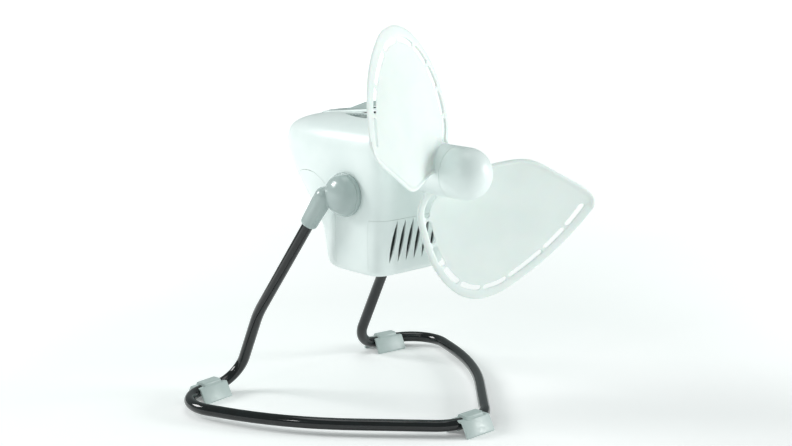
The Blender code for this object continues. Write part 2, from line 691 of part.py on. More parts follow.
# ---- motor ------------------------------------------------------------------
def coil(name, start, way):
    """A wound ring over one end of the stator."""
    inner = ROTOR_RADIUS + AIR_GAP + 1.0 * MM
    outer = MOTOR_BOLT_CIRCLE - MOTOR_BOLT_RADIUS - 1.1 * MM
    round_end = 1.2 * MM
    profile = [(inner + round_end, COIL_HEIGHT), (outer - round_end, COIL_HEIGHT),
               (outer, COIL_HEIGHT - 2 * MM), (outer, 0.0), (inner, 0.0),
               (inner, COIL_HEIGHT - 2 * MM)]
    turned(name, profile, start, way, COPPER, closed=True)


def bracket(name, bush_name, start, way):
    """A cup over one end of the motor, with the bush pressed in its middle."""
    depth, wall, corner = BRACKET_DEPTH, BRACKET_WALL, 3.0 * MM
    outer, seat = STATOR_RADIUS, BUSH_RADIUS + GAP
    profile = [(seat, depth), (outer - corner, depth), (outer, depth - corner), (outer, 0.0),
               (outer - wall, 0.0), (outer - wall, depth - corner - wall / 2),
               (outer - corner - wall / 2, depth - wall), (seat + wall, depth - wall),
               (seat + wall, depth - BUSH_LENGTH), (seat, depth - BUSH_LENGTH)]
    cup = turned(name, profile, start, way, STEEL, steps=28, closed=True)
    for i, centre in enumerate(bolt_places(), start=1):
        across = centre + Vector((0, start.y, 0)) - way * 5 * MM
        cut(cup, rod(f"{name}_hole_{i}", MOTOR_BOLT_RADIUS + GAP, across, depth + 10 * MM, way))
    ring(bush_name, SHAFT_RADIUS + RUNNING_GAP, BUSH_RADIUS, start + way * (depth - BUSH_LENGTH),
         BUSH_LENGTH - 0.5 * MM, way, BRASS)


def motor():
    """Shaded-pole motor: stator between two cup brackets with bronze bushes, and its bolts."""
    forward, rearward = Vector((0, -1, 0)), Vector((0, 1, 0))
    stator_start = MOTOR_AXIS + Vector((0, STATOR_FRONT, 0))
    stator = ring("stator_core", ROTOR_RADIUS + AIR_GAP, STATOR_RADIUS, stator_start,
                  STATOR_LENGTH, rearward, LAMINATION, steps=28)
    front_end = stator_start + forward * GAP
    rear_end = stator_start + rearward * (STATOR_LENGTH + GAP)
    coil("coil_front", front_end, forward)
    coil("coil_rear", rear_end, rearward)
    bracket("motor_bracket_front", "bush_front", front_end, forward)
    bracket("motor_bracket_rear", "bush_rear", rear_end, rearward)
    head_face = BRACKET_REAR + BRACKET_DEPTH + GAP + MOTOR_BOLT_HEAD
    length = head_face - BRACKET_FRONT + MOTOR_BOLT_GRIP
    edge = 0.5 * MM
    profile = [(0.0, length), (MOTOR_BOLT_RADIUS, length), (MOTOR_BOLT_RADIUS, MOTOR_BOLT_HEAD),
               (MOTOR_BOLT_HEAD_RADIUS, MOTOR_BOLT_HEAD), (MOTOR_BOLT_HEAD_RADIUS, edge),
               (MOTOR_BOLT_HEAD_RADIUS - edge, 0.0), (0.0, 0.0)]
    for i, centre in enumerate(bolt_places(), start=1):
        cut(stator, rod(f"stator_hole_{i}", MOTOR_BOLT_RADIUS + GAP,
                        centre + Vector((0, STATOR_FRONT - 5 * MM, 0)),
                        STATOR_LENGTH + 10 * MM, rearward))
        turned(f"motor_bolt_{i}", profile, centre + Vector((0, head_face, 0)), forward, STEEL,
               steps=16)


# ---- rotating pieces --------------------------------------------------------
SHAFT_FRONT = HUB_SEAM - 6.0 * MM
SHAFT_REAR = BRACKET_REAR + BRACKET_DEPTH + 4.0 * MM


def blade_height(x, z):
    """World y of the blade's mid surface, for points in the disc plane from the axis.

    A plane pitched about the blade's mid line, bowed by squares and cubes of the two distances.
    """
    u = (x * math.sin(BLADE_MIDDLE) + z * math.cos(BLADE_MIDDLE)) / (100 * MM)
    v = (x * math.cos(BLADE_MIDDLE) - z * math.sin(BLADE_MIDDLE)) / (100 * MM)
    bow = 5.5 * u * u + 2.9 * u * v - 10.6 * v * v
    twist = 2.2 * u ** 3 + 1.8 * u * u * v - 0.8 * u * v * v + 0.9 * v ** 3
    return BLADE_Y + (-20.5 * u + 43.3 * v + bow + twist) * MM


def polar(radius, clock):
    """Disc-plane point at a clock angle from up, seen from the front."""
    angle = math.radians(clock)
    return (radius * math.sin(angle), radius * math.cos(angle))


def blade_outline():
    """Blade edge in the disc plane: leading edge, tip corner, rim arc, trailing sweep, root."""
    scale = BLADE_RADIUS / (135.5 * MM)
    leading = [(20.0, 93.0), (32.0, 88.5), (44.0, 85.5), (57.0, 84.6), (68.0, 86.3), (79.0, 90.3),
               (92.0, 95.0), (107.0, 98.8), (121.0, 101.6), (130.5, 104.2), (134.8, 107.2)]
    trailing = [(134.6, 150.5), (130.0, 156.9), (120.0, 163.8), (104.0, 171.2), (85.0, 179.2),
                (67.0, 187.3), (51.0, 197.0), (40.0, 206.0), (30.0, 211.5), (20.0, 214.5)]
    front = through([polar(r * MM * scale, a) for r, a in leading], 2)
    back = through([polar(r * MM * scale, a) for r, a in trailing], 3)
    tip = [polar(BLADE_RADIUS, a) for a in np.linspace(109.0, 148.0, 14)]
    root = [polar(BLADE_ROOT_RADIUS, a) for a in np.linspace(212.0, 95.0, 9)]
    return front, np.array(tip), back, np.array(root)


def offset_curve(points, distances):
    """An open curve moved to its right-hand side by the given distances."""
    tangent = np.gradient(points, axis=0)
    tangent /= np.linalg.norm(tangent, axis=1)[:, None]
    normal = np.stack([tangent[:, 1], -tangent[:, 0]], axis=1)
    return points + normal * np.asarray(distances)[:, None]


def blade_slots():
    """Closed outlines of the slots that run just inside the blade's rim."""
    front, tip, back, root = blade_outline()
    rim = np.vstack([front[-1:], tip, back[:-3]])
    along = np.concatenate([[0], np.cumsum(np.linalg.norm(np.diff(rim, axis=0), axis=1))])
    inset = np.interp(along, [0, along[-1] * 0.45, along[-1] * 0.62],
                      [RIM_AT_TIP, RIM_AT_TIP, RIM_AT_ROOT])
    line = offset_curve(rim, inset)
    length = np.concatenate([[0], np.cumsum(np.linalg.norm(np.diff(line, axis=0), axis=1))])
    first, last = 5.0 * MM, length[-1] - 1.0 * MM
    shares = np.array([1.5 if i == 2 else 1.0 for i in range(SLOT_COUNT)])
    room = last - first - SLOT_BRIDGE * (SLOT_COUNT - 1)
    slot_lengths = room * shares / shares.sum()
    loops = []
    start = first
    for slot_length in slot_lengths:
        s = np.linspace(start + SLOT_WIDTH / 2, start + slot_length - SLOT_WIDTH / 2, 4)
        middle = np.stack([np.interp(s, length, line[:, 0]), np.interp(s, length, line[:, 1])], axis=1)
        half = np.full(len(s), SLOT_WIDTH / 2)
        right, left = offset_curve(middle, half), offset_curve(middle, -half)
        ends = middle[-1] - middle[-2], middle[0] - middle[1]
        tips = [end / np.linalg.norm(end) * SLOT_WIDTH / 2 for end in ends]
        loops.append([*right, middle[-1] + tips[0], *left[::-1], middle[0] + tips[1]])
        start += slot_length + SLOT_BRIDGE
    return loops


def blade_mesh(name, thickness, grow=0.0, slots=True):
    """A bent sheet trimmed to the blade's outline, about the fan's axis."""
    size = 2.2 * BLADE_RADIUS
    work = bmesh.new()
    bmesh.ops.create_grid(work, x_segments=17, y_segments=17, size=size / 2)
    for vertex in work.verts:
        x, z = vertex.co.x, vertex.co.y
        reach = min(1.0, 1.1 * BLADE_RADIUS / max(math.hypot(x, z), 1e-9))
        vertex.co = (x, blade_height(x * reach, z * reach), z)
    mesh = bpy.data.meshes.new(name + "_sheet")
    work.to_mesh(mesh)
    work.free()
    bent = bpy.data.objects.new(name + "_sheet", mesh)
    bpy.context.scene.collection.objects.link(bent)
    thick = bent.modifiers.new("thickness", "SOLIDIFY")
    thick.thickness = thickness
    thick.offset = 0.0
    edge = np.vstack(blade_outline())
    if grow:
        middle = edge.mean(axis=0)
        away = edge - middle
        edge = edge + away / np.linalg.norm(away, axis=1)[:, None] * grow
    loops = [[tuple(p) for p in edge]]
    if slots:
        loops += [[tuple(p) for p in loop] for loop in blade_slots()]
    trim = place(name + "_trim", sheet(name + "_trim", loops, 0.3, UPRIGHT), None, tool=True)
    trimmed = bent.modifiers.new("trim", "BOOLEAN")
    trimmed.operation = "INTERSECT"
    trimmed.solver = "EXACT"
    trimmed.object = trim
    shape = settle(bent)
    bpy.data.objects.remove(trim, do_unlink=True)
    smooth(shape)
    return shape


def hub(forward):
    """Barrel with a pocket for the nut, two blades let into its side, and the cap on its end."""
    depth = HUB_REAR - HUB_SEAM
    bore = SHAFT_RADIUS + GAP / 2
    edge = 1.2 * MM
    profile = [(HUB_POCKET_RADIUS, depth), (HUB_RADIUS - edge, depth), (HUB_RADIUS, depth - edge),
               (HUB_RADIUS, 0.0), (bore, 0.0), (bore, depth - HUB_POCKET),
               (HUB_POCKET_RADIUS, depth - HUB_POCKET)]
    barrel = turned("hub_barrel", profile, MOTOR_AXIS + Vector((0, HUB_REAR, 0)), forward, WHITE,
                    steps=28, closed=True)
    sheet_mesh = blade_mesh("blade", BLADE_THICKNESS)
    groove_mesh = blade_mesh("blade_groove", BLADE_THICKNESS + 2 * GAP, grow=GAP, slots=False)
    for i in range(1, BLADE_COUNT + 1):
        turn = Matrix.Translation(MOTOR_AXIS) @ Matrix.Rotation(2 * math.pi * i / BLADE_COUNT, 4, "Y")
        place(f"blade_{i}", sheet_mesh.copy(), BLADE_WHITE).matrix_world = turn
        groove = place(f"blade_groove_{i}", groove_mesh, None, tool=True)
        groove.matrix_world = turn
        cut(barrel, groove)

    nut_start = MOTOR_AXIS + Vector((0, HUB_SEAM + HUB_POCKET - GAP, 0))
    nut = turned("hub_nut", [(bore, NUT_HEIGHT), (NUT_RADIUS, NUT_HEIGHT), (NUT_RADIUS, 0.0),
                             (bore, 0.0)], nut_start, forward, STEEL, steps=6, closed=True)
    cut(nut, rod("nut_bore", bore, nut_start - forward * NUT_HEIGHT, 3 * NUT_HEIGHT, forward,
                 steps=32))

    dome = [(math.sin(a), math.cos(a)) for a in np.radians(np.linspace(0, 90, 7))]
    reach = CAP_LENGTH - CAP_STRAIGHT
    inner_radius = HUB_RADIUS - CAP_WALL
    outside = [(r * HUB_RADIUS, CAP_STRAIGHT + h * reach) for r, h in dome]
    inside = [(r * inner_radius, CAP_STRAIGHT + h * (reach - CAP_WALL)) for r, h in dome]
    profile = outside + [(HUB_RADIUS, GAP), (inner_radius, GAP)] + inside[::-1]
    turned("nose_cap", profile, MOTOR_AXIS + Vector((0, HUB_SEAM, 0)), forward, WHITE, steps=28)


def rotor():
    """Shaft, squirrel-cage core, thrust washers, and the hub with its blades."""
    forward, rearward = Vector((0, -1, 0)), Vector((0, 1, 0))
    length = SHAFT_REAR - SHAFT_FRONT
    edge = 0.5 * MM
    profile = [(0.0, length), (SHAFT_RADIUS - edge, length), (SHAFT_RADIUS, length - edge),
               (SHAFT_RADIUS, edge), (SHAFT_RADIUS - edge, 0.0), (0.0, 0.0)]
    turned("motor_shaft", profile, MOTOR_AXIS + Vector((0, SHAFT_FRONT, 0)), rearward, STEEL)
    bore = SHAFT_RADIUS + GAP / 2
    ring("rotor_core", bore, ROTOR_RADIUS, MOTOR_AXIS + Vector((0, STATOR_FRONT, 0)),
         STATOR_LENGTH, rearward, LAMINATION, steps=28)
    bush_end = BRACKET_DEPTH - BUSH_LENGTH - GAP
    for name, y, way in (("thrust_washer_front", STATOR_FRONT - GAP - bush_end, rearward),
                         ("thrust_washer_rear", BRACKET_REAR + bush_end, forward)):
        ring(name, bore, SHAFT_RADIUS + 3 * MM, MOTOR_AXIS + Vector((0, y, 0)),
             THRUST_WASHER_THICKNESS, way, DARK)
    hub(forward)


def build():
    """The stand with its feet and pivots, then the fan head, its switch, motor and rotor."""
    bent_tube("stand_tube", TUBE_RADIUS, BLACK)
    feet()
    for side, sign in (("left", -1.0), ("right", 1.0)):
        elbow(side, sign)
        pivot(side, sign)
    hollow = place("housing_hollow", housing_solid("housing_hollow", WALL), None, tool=True)
    switch(main_housing(hollow))
    rear_cover(hollow)
    front_panel(hollow)
    motor()
    rotor()


build()
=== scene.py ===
import json
import math

import bmesh
import bpy
import numpy as np
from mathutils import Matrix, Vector


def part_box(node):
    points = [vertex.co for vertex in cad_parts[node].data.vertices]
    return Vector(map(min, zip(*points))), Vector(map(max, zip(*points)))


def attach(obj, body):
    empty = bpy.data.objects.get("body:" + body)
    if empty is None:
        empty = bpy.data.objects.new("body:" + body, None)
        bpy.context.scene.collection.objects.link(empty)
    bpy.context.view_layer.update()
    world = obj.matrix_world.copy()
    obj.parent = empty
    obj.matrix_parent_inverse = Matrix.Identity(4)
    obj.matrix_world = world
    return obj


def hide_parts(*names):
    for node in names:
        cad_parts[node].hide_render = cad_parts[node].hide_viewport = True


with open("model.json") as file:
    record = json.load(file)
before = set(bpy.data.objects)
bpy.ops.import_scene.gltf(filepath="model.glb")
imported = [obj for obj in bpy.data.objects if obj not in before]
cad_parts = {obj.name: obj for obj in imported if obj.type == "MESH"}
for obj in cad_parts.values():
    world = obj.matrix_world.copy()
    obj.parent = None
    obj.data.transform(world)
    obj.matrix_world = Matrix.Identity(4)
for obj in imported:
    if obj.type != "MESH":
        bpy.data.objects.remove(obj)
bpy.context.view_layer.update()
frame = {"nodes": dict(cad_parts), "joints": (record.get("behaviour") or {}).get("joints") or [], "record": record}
mm = 0.001
up = np.array([0.0, 0.0, 1.0])

# where the pieces sit, read from the frame
hubLow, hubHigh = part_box("hub_barrel")
capLow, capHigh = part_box("nose_cap")
fanAxis = np.array([0.0, 0.0, (hubLow.z + hubHigh.z) / 2])
joints = {joint["name"]: joint for joint in frame["joints"]}
tiltPivot = np.array(joints["head_tilt"]["pos_m"])
print("frame loaded:", len(frame["nodes"]), "nodes")


# sRGB hex to the linear values that sockets take
def hexColour(code):
    channels = np.array([int(code[i:i + 2], 16) / 255 for i in (1, 3, 5)])
    linear = np.where(channels <= 0.04045, channels / 12.92, ((channels + 0.055) / 1.055) ** 2.4)
    return (*linear, 1.0)


# one node with its settings and links; a link is (output node, output name)
def addNode(tree, kind, settings=None, inputs=None, links=None):
    node = tree.nodes.new(kind)
    for key, value in (settings or {}).items():
        setattr(node, key, value)
    for key, value in (inputs or {}).items():
        node.inputs[key].default_value = value
    for key, (source, output) in (links or {}).items():
        tree.links.new(source.outputs[output], node.inputs[key])
    return node


def startMaterial(name, shaderInputs):
    material = bpy.data.materials.new(name)
    material.use_nodes = True
    tree = material.node_tree
    shader = tree.nodes["Principled BSDF"]
    for key, value in shaderInputs.items():
        shader.inputs[key].default_value = value
    place = addNode(tree, "ShaderNodeTexCoord")
    return material, tree, shader, place


# colour between two hexes by a noise of the given size, into Base Color
def mottle(tree, shader, place, size, light, dark, low=0.4, high=0.6, detail=3.0):
    noise = addNode(tree, "ShaderNodeTexNoise", inputs={"Scale": 1 / size, "Detail": detail},
                    links={"Vector": (place, "Object")})
    ramp = addNode(tree, "ShaderNodeValToRGB", links={"Fac": (noise, "Fac")})
    ramp.color_ramp.elements[0].position = low
    ramp.color_ramp.elements[1].position = high
    ramp.color_ramp.elements[0].color = hexColour(dark)
    ramp.color_ramp.elements[1].color = hexColour(light)
    tree.links.new(ramp.outputs["Color"], shader.inputs["Base Color"])
    return noise


# roughness swinging between two values by a noise of the given size
def uneven(tree, shader, place, size, low, high):
    noise = addNode(tree, "ShaderNodeTexNoise", inputs={"Scale": 1 / size, "Detail": 4.0},
                    links={"Vector": (place, "Object")})
    swing = addNode(tree, "ShaderNodeMapRange", inputs={"From Min": 0.35, "From Max": 0.65,
                                                        "To Min": low, "To Max": high},
                    links={"Value": (noise, "Fac")})
    tree.links.new(swing.outputs["Result"], shader.inputs["Roughness"])


# one or more height patterns stacked into the normal
def grain(tree, shader, patterns):
    last = None
    for source, output, strength, depth in patterns:
        links = {"Height": (source, output)}
        if last:
            links["Normal"] = (last, "Normal")
        last = addNode(tree, "ShaderNodeBump", inputs={"Strength": strength, "Distance": depth}, links=links)
    tree.links.new(last.outputs["Normal"], shader.inputs["Normal"])


def noiseAt(tree, place, size, detail=2.0):
    return addNode(tree, "ShaderNodeTexNoise", inputs={"Scale": 1 / size, "Detail": detail},
                   links={"Vector": (place, "Object")})


# ABS, injection moulded in a spark-eroded tool: satin, with a fine even grain and faint flow marks
def mouldedAbs():
    material, tree, shader, place = startMaterial("mouldedAbs", {"IOR": 1.53, "Roughness": 0.36,
                                                                  "Coat Weight": 0.08,
                                                                  "Coat Roughness": 0.2})
    mottle(tree, shader, place, 38 * mm, "#edf6f4", "#e8f2f0")
    uneven(tree, shader, place, 6 * mm, 0.31, 0.42)
    spark = noiseAt(tree, place, 0.55 * mm)          # drawn coarser than the real 0.1 mm grit, to show
    waves = noiseAt(tree, place, 22 * mm)            # slow sink of the wall
    grain(tree, shader, [(waves, "Fac", 0.05, 0.4 * mm), (spark, "Fac", 0.08, 0.04 * mm)])
    return material


# soft EVA, moulded: a milky blade that lets a little light in, with a smooth skin
def softEva():
    material, tree, shader, place = startMaterial("softEva", {"IOR": 1.48, "Roughness": 0.4,
                                                               "Subsurface Weight": 0.12,
                                                               "Subsurface Scale": 0.003})
    mottle(tree, shader, place, 45 * mm, "#edf6f3", "#e9f3f0")
    uneven(tree, shader, place, 5 * mm, 0.36, 0.47)
    skin = noiseAt(tree, place, 0.8 * mm)
    flow = noiseAt(tree, place, 25 * mm)
    grain(tree, shader, [(flow, "Fac", 0.04, 0.4 * mm), (skin, "Fac", 0.06, 0.04 * mm)])
    return material


# ABS, polished tool, grey green: glossy, small marks in the gloss from handling
def glossAbs():
    material, tree, shader, place = startMaterial("glossAbs", {"IOR": 1.53, "Roughness": 0.2,
                                                                "Coat Weight": 0.25,
                                                                "Coat Roughness": 0.08})
    mottle(tree, shader, place, 24 * mm, "#adbbb9", "#a6b5b3")
    uneven(tree, shader, place, 3 * mm, 0.17, 0.27)
    peel = noiseAt(tree, place, 9 * mm)
    fine = noiseAt(tree, place, 0.5 * mm)
    grain(tree, shader, [(peel, "Fac", 0.04, 0.2 * mm), (fine, "Fac", 0.03, 0.02 * mm)])
    return material


# polypropylene, moulded, grey green: the clip feet, a little duller and scuffed by the table
def scuffedPolypropylene():
    material, tree, shader, place = startMaterial("scuffedPolypropylene", {"IOR": 1.49, "Roughness": 0.34})
    mottle(tree, shader, place, 20 * mm, "#becbc9", "#b8c6c3")
    uneven(tree, shader, place, 2 * mm, 0.28, 0.45)
    scuff = noiseAt(tree, place, 0.9 * mm)
    grain(tree, shader, [(scuff, "Fac", 0.14, 0.06 * mm)])
    return material


# black enamel, stoved on steel: wet gloss with a slight orange peel
def stovedEnamel():
    material, tree, shader, place = startMaterial("stovedEnamel", {"IOR": 1.5, "Roughness": 0.1,
                                                                    "Coat Weight": 0.25,
                                                                    "Coat Roughness": 0.02})
    mottle(tree, shader, place, 9 * mm, "#0b1214", "#060a0b")
    uneven(tree, shader, place, 2.5 * mm, 0.08, 0.15)
    peel = noiseAt(tree, place, 2.4 * mm)
    grain(tree, shader, [(peel, "Fac", 0.05, 0.08 * mm)])
    return material


# steel, zinc plated: pale, slightly patchy crystals
def zincPlate():
    material, tree, shader, place = startMaterial("zincPlate", {"Metallic": 1.0, "Roughness": 0.32})
    mottle(tree, shader, place, 2.5 * mm, "#c9cbc8", "#aeb1b0")
    uneven(tree, shader, place, 1.2 * mm, 0.25, 0.42)
    fine = noiseAt(tree, place, 0.4 * mm)
    grain(tree, shader, [(fine, "Fac", 0.08, 0.03 * mm)])
    return material


# silicon steel sheets, stacked: a line every 0.5 mm along the motor's axis
def stackedSteel():
    material, tree, shader, place = startMaterial("stackedSteel", {"Metallic": 1.0, "Roughness": 0.5})
    mottle(tree, shader, place, 6 * mm, "#8a8c90", "#5c5e62")
    wave = addNode(tree, "ShaderNodeTexWave", {"bands_direction": "Y"},
                   {"Scale": 0.05 / (0.5 * mm), "Distortion": 0.3}, {"Vector": (place, "Object")})
    grain(tree, shader, [(wave, "Fac", 0.4, 0.1 * mm)])
    return material


# enamelled copper wire, wound round the axis: rings of 0.5 mm wire under varnish
def woundCopper():
    material, tree, shader, place = startMaterial("woundCopper", {"Metallic": 1.0, "Roughness": 0.35,
                                                                   "Coat Weight": 0.5})
    centre = addNode(tree, "ShaderNodeMapping", {"vector_type": "POINT"},
                     {"Location": (0.0, 0.0, -fanAxis[2])}, {"Vector": (place, "Object")})
    mottle(tree, shader, place, 3 * mm, "#c9743a", "#a4572a")
    wave = addNode(tree, "ShaderNodeTexWave", {"wave_type": "RINGS", "rings_direction": "Y"},
                   {"Scale": 0.05 / (0.5 * mm), "Distortion": 0.6}, {"Vector": (centre, "Vector")})
    grain(tree, shader, [(wave, "Fac", 0.6, 0.2 * mm)])
    return material


# sintered bronze, oil soaked: warm, with open pores
def sinteredBronze():
    material, tree, shader, place = startMaterial("sinteredBronze", {"Metallic": 1.0, "Roughness": 0.45})
    mottle(tree, shader, place, 1.0 * mm, "#c9a463", "#94703a")
    pores = addNode(tree, "ShaderNodeTexVoronoi", inputs={"Scale": 1 / (0.5 * mm)},
                    links={"Vector": (place, "Object")})
    grain(tree, shader, [(pores, "Distance", 0.4, 0.05 * mm)])
    return material


# nylon, carbon filled, black: matte, with a random patchy tone
def blackNylon():
    material, tree, shader, place = startMaterial("blackNylon", {"IOR": 1.53, "Roughness": 0.6})
    mottle(tree, shader, place, 5 * mm, "#3a3f40", "#2a2e2f")
    fine = noiseAt(tree, place, 0.5 * mm)
    grain(tree, shader, [(fine, "Fac", 0.2, 0.05 * mm)])
    return material


finishes = {
    "white_plastic": mouldedAbs(),
    "blade_plastic": softEva(),
    "grey_plastic": glossAbs(),
    "black_enamel": stovedEnamel(),
    "zinc_steel": zincPlate(),
    "lamination_steel": stackedSteel(),
    "enamelled_copper": woundCopper(),
    "bronze_bush": sinteredBronze(),
    "dark_plastic": blackNylon(),
    "foot": scuffedPolypropylene(),
}
slotOfNode = {part["node"]: part["material_slot"] for part in frame["record"]["subparts"]}
for nodeName, cadObject in frame["nodes"].items():
    cadObject.data.materials.clear()
    cadObject.data.materials.append(finishes[slotOfNode[nodeName]])
print("materials made:", len(finishes))


# a mesh from points and faces: doubles merged, faces turned outwards
def cleanMesh(name, points, faces):
    mesh = bpy.data.meshes.new(name)
    mesh.from_pydata(np.asarray(points).tolist(), [], [list(face) for face in faces])
    work = bmesh.new()
    work.from_mesh(mesh)
    bmesh.ops.remove_doubles(work, verts=work.verts, dist=1e-6)
    bmesh.ops.dissolve_degenerate(work, dist=1e-7, edges=work.edges)
    bmesh.ops.recalc_face_normals(work, faces=work.faces)
    work.to_mesh(mesh)
    work.free()
    return mesh


# a finished piece: shaded smooth with sharp corners kept, riding a body in place of a CAD node
def makePiece(name, points, faces, material, body, replaces=(), sharp=35.0):
    mesh = cleanMesh(name, points, faces)
    mesh.shade_smooth()
    mesh.set_sharp_from_angle(angle=math.radians(sharp))
    mesh.materials.append(material)
    piece = bpy.data.objects.new(name, mesh)
    bpy.context.scene.collection.objects.link(piece)
    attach(piece, body)
    if replaces:
        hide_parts(*replaces)
    return piece


# quads between neighbouring rows and columns of a grid, closed round the columns if asked
def gridQuads(rows, columns, closed, start=0):
    index = start + np.arange(rows * columns).reshape(rows, columns)
    right = np.roll(index, -1, axis=1)
    quads = np.stack([index[:-1], right[:-1], right[1:], index[1:]], axis=-1)
    if not closed:
        quads = quads[:, :-1]
    return quads.reshape(-1, 4)


# a frame of three unit vectors whose third is the axis
def frameAlong(axis):
    axis = np.asarray(axis, float) / np.linalg.norm(axis)
    side = np.cross(axis, [0.0, 0.0, 1.0] if abs(axis[2]) < 0.9 else [1.0, 0.0, 0.0])
    side /= np.linalg.norm(side)
    return side, np.cross(axis, side), axis


# turned surface: each profile point (radius, height) sweeps a circle round the axis at its height
def turnedGrid(profile, centre, axis, steps):
    side, across, along = frameAlong(axis)
    angle = np.linspace(0, 2 * np.pi, steps, endpoint=False)
    circle = np.cos(angle)[:, None] * side + np.sin(angle)[:, None] * across
    radius, height = np.asarray(profile, float).T
    points = np.asarray(centre) + radius[:, None, None] * circle + height[:, None, None] * along
    return points.reshape(-1, 3), gridQuads(len(profile), steps, True)


# corner rounding of a profile: each inner corner becomes a quadratic arc of the given reach
def roundProfile(profile, reach, count=5):
    rows = np.asarray(profile, float)
    made = [rows[0]]
    for before, corner, after in zip(rows[:-2], rows[1:-1], rows[2:]):
        back, ahead = before - corner, after - corner
        cut = min(reach, 0.45 * np.linalg.norm(back), 0.45 * np.linalg.norm(ahead))
        a = corner + back / np.linalg.norm(back) * cut
        b = corner + ahead / np.linalg.norm(ahead) * cut
        t = np.linspace(0, 1, count)[:, None]
        made.extend((1 - t) ** 2 * a + 2 * t * (1 - t) * corner + t ** 2 * b)
    made.append(rows[-1])
    return np.array(made)


# smooth open curve through rows of values (Catmull-Rom), ends kept
def through(points, perSpan):
    rows = np.array(points, dtype=float)
    padded = np.vstack([2 * rows[0] - rows[1], rows, 2 * rows[-1] - rows[-2]])
    t = np.linspace(0, 1, perSpan, endpoint=False)[:, None]
    spans = [0.5 * (2 * b + (c - a) * t + (2 * a - 5 * b + 4 * c - d) * t ** 2
                    + (3 * b - a - 3 * c + d) * t ** 3)
             for a, b, c, d in zip(padded[:-3], padded[1:-2], padded[2:-1], padded[3:])]
    return np.vstack(spans + [rows[-1:]])


# the part of a sheet where keep(p) > 0: grid points next to the edge are moved on to it along the
# sheet, by Newton steps in the two parameters, and triangles outside are dropped
def trimSheet(surface, columns, rows, keep, closed=False):
    a, b = np.meshgrid(columns, rows)
    points = surface(a, b)
    value = keep(points)
    stepA = np.linalg.norm(np.gradient(points, axis=1), axis=2)
    stepB = np.linalg.norm(np.gradient(points, axis=0), axis=2)
    near = np.abs(value) < 0.5 * np.maximum(stepA, stepB)
    da, db = np.gradient(a, axis=1) * 0.02, np.gradient(b, axis=0) * 0.02
    homeA, homeB = a.copy(), b.copy()
    for _ in range(5):
        slopeA = (keep(surface(a + da, b)) - value) / (stepA * 0.02)
        slopeB = (keep(surface(a, b + db)) - value) / (stepB * 0.02)
        size = np.maximum(slopeA ** 2 + slopeB ** 2, 0.05)
        a = np.where(near, a - value * slopeA / size * da / (stepA * 0.02), a)
        b = np.where(near, b - value * slopeB / size * db / (stepB * 0.02), b)
        a = np.clip(a, homeA - np.abs(da) * 42, homeA + np.abs(da) * 42)
        b = np.clip(b, homeB - np.abs(db) * 42, homeB + np.abs(db) * 42)
        points = surface(a, b)
        value = keep(points)
    value = np.where(near, 0.0, value)
    quads = gridQuads(len(rows), len(columns), closed)
    flat = value.ravel()
    snapped = near.ravel()[quads]
    other = snapped[:, 1] & snapped[:, 3] & ~(snapped[:, 0] & snapped[:, 2])
    first = np.where(other[:, None], quads[:, [0, 1, 3]], quads[:, [0, 1, 2]])
    second = np.where(other[:, None], quads[:, [1, 2, 3]], quads[:, [0, 2, 3]])
    triangles = np.vstack([first, second])
    return points.reshape(-1, points.shape[-1]), triangles[flat[triangles].sum(axis=1) > 1e-9]


# directed edges that only one face has: the open border of a set of triangles
def borderEdges(triangles):
    edges = np.vstack([triangles[:, [0, 1]], triangles[:, [1, 2]], triangles[:, [2, 0]]])
    key = np.sort(edges, axis=1)
    _, where, count = np.unique(key[:, 0] * (key.max() + 1) + key[:, 1], return_index=True,
                                return_counts=True)
    return edges[where[count == 1]]


# two skins on the same triangles, joined along every border
def closeSkins(front, back, triangles):
    edges = borderEdges(triangles)
    shift = len(front)
    walls = np.stack([edges[:, 1], edges[:, 0], edges[:, 0] + shift, edges[:, 1] + shift], axis=1)
    faces = [*triangles.tolist(), *(triangles[:, ::-1] + shift).tolist(), *walls.tolist()]
    return np.vstack([front, back]), faces


# unit normals of the points of a triangle mesh
def pointNormals(points, triangles):
    corner = points[triangles]
    faceNormal = np.cross(corner[:, 1] - corner[:, 0], corner[:, 2] - corner[:, 0])
    normals = np.zeros_like(points)
    for k in range(3):
        np.add.at(normals, triangles[:, k], faceNormal)
    return normals / np.maximum(np.linalg.norm(normals, axis=1, keepdims=True), 1e-12)


view = {"place": (-0.8058, -0.8635, 0.4136), "azimuth": -43.5, "down": 12.09, "lens": 63.9}


def makeCamera():
    data = bpy.data.cameras.new("camera")
    data.lens = view["lens"]
    data.sensor_width = 36.0
    camera = bpy.data.objects.new("camera", data)
    camera.location = view["place"]
    camera.rotation_euler = (math.radians(90 - view["down"]), 0, math.radians(view["azimuth"]))
    bpy.context.scene.collection.objects.link(camera)
    bpy.context.scene.camera = camera


studio = {
    # name: place, size, watts
    "lamps": {
        "keyBox": ((-1.0, 1.2, 1.0), (0.6, 0.6), 15.0),
        "fillBox": ((1.35, -1.2, 0.55), (0.6, 0.6), 18.0),
        "topBox": ((0.1, 0.1, 1.8), (1.0, 1.0), 5.0),
        "sparkle": ((-1.5, -0.35, 0.95), (0.12, 0.12), 1.0),
    },
    "aim": (0, 0, 0.16), "world": 0.34, "sky": "#ecfaf8",
}


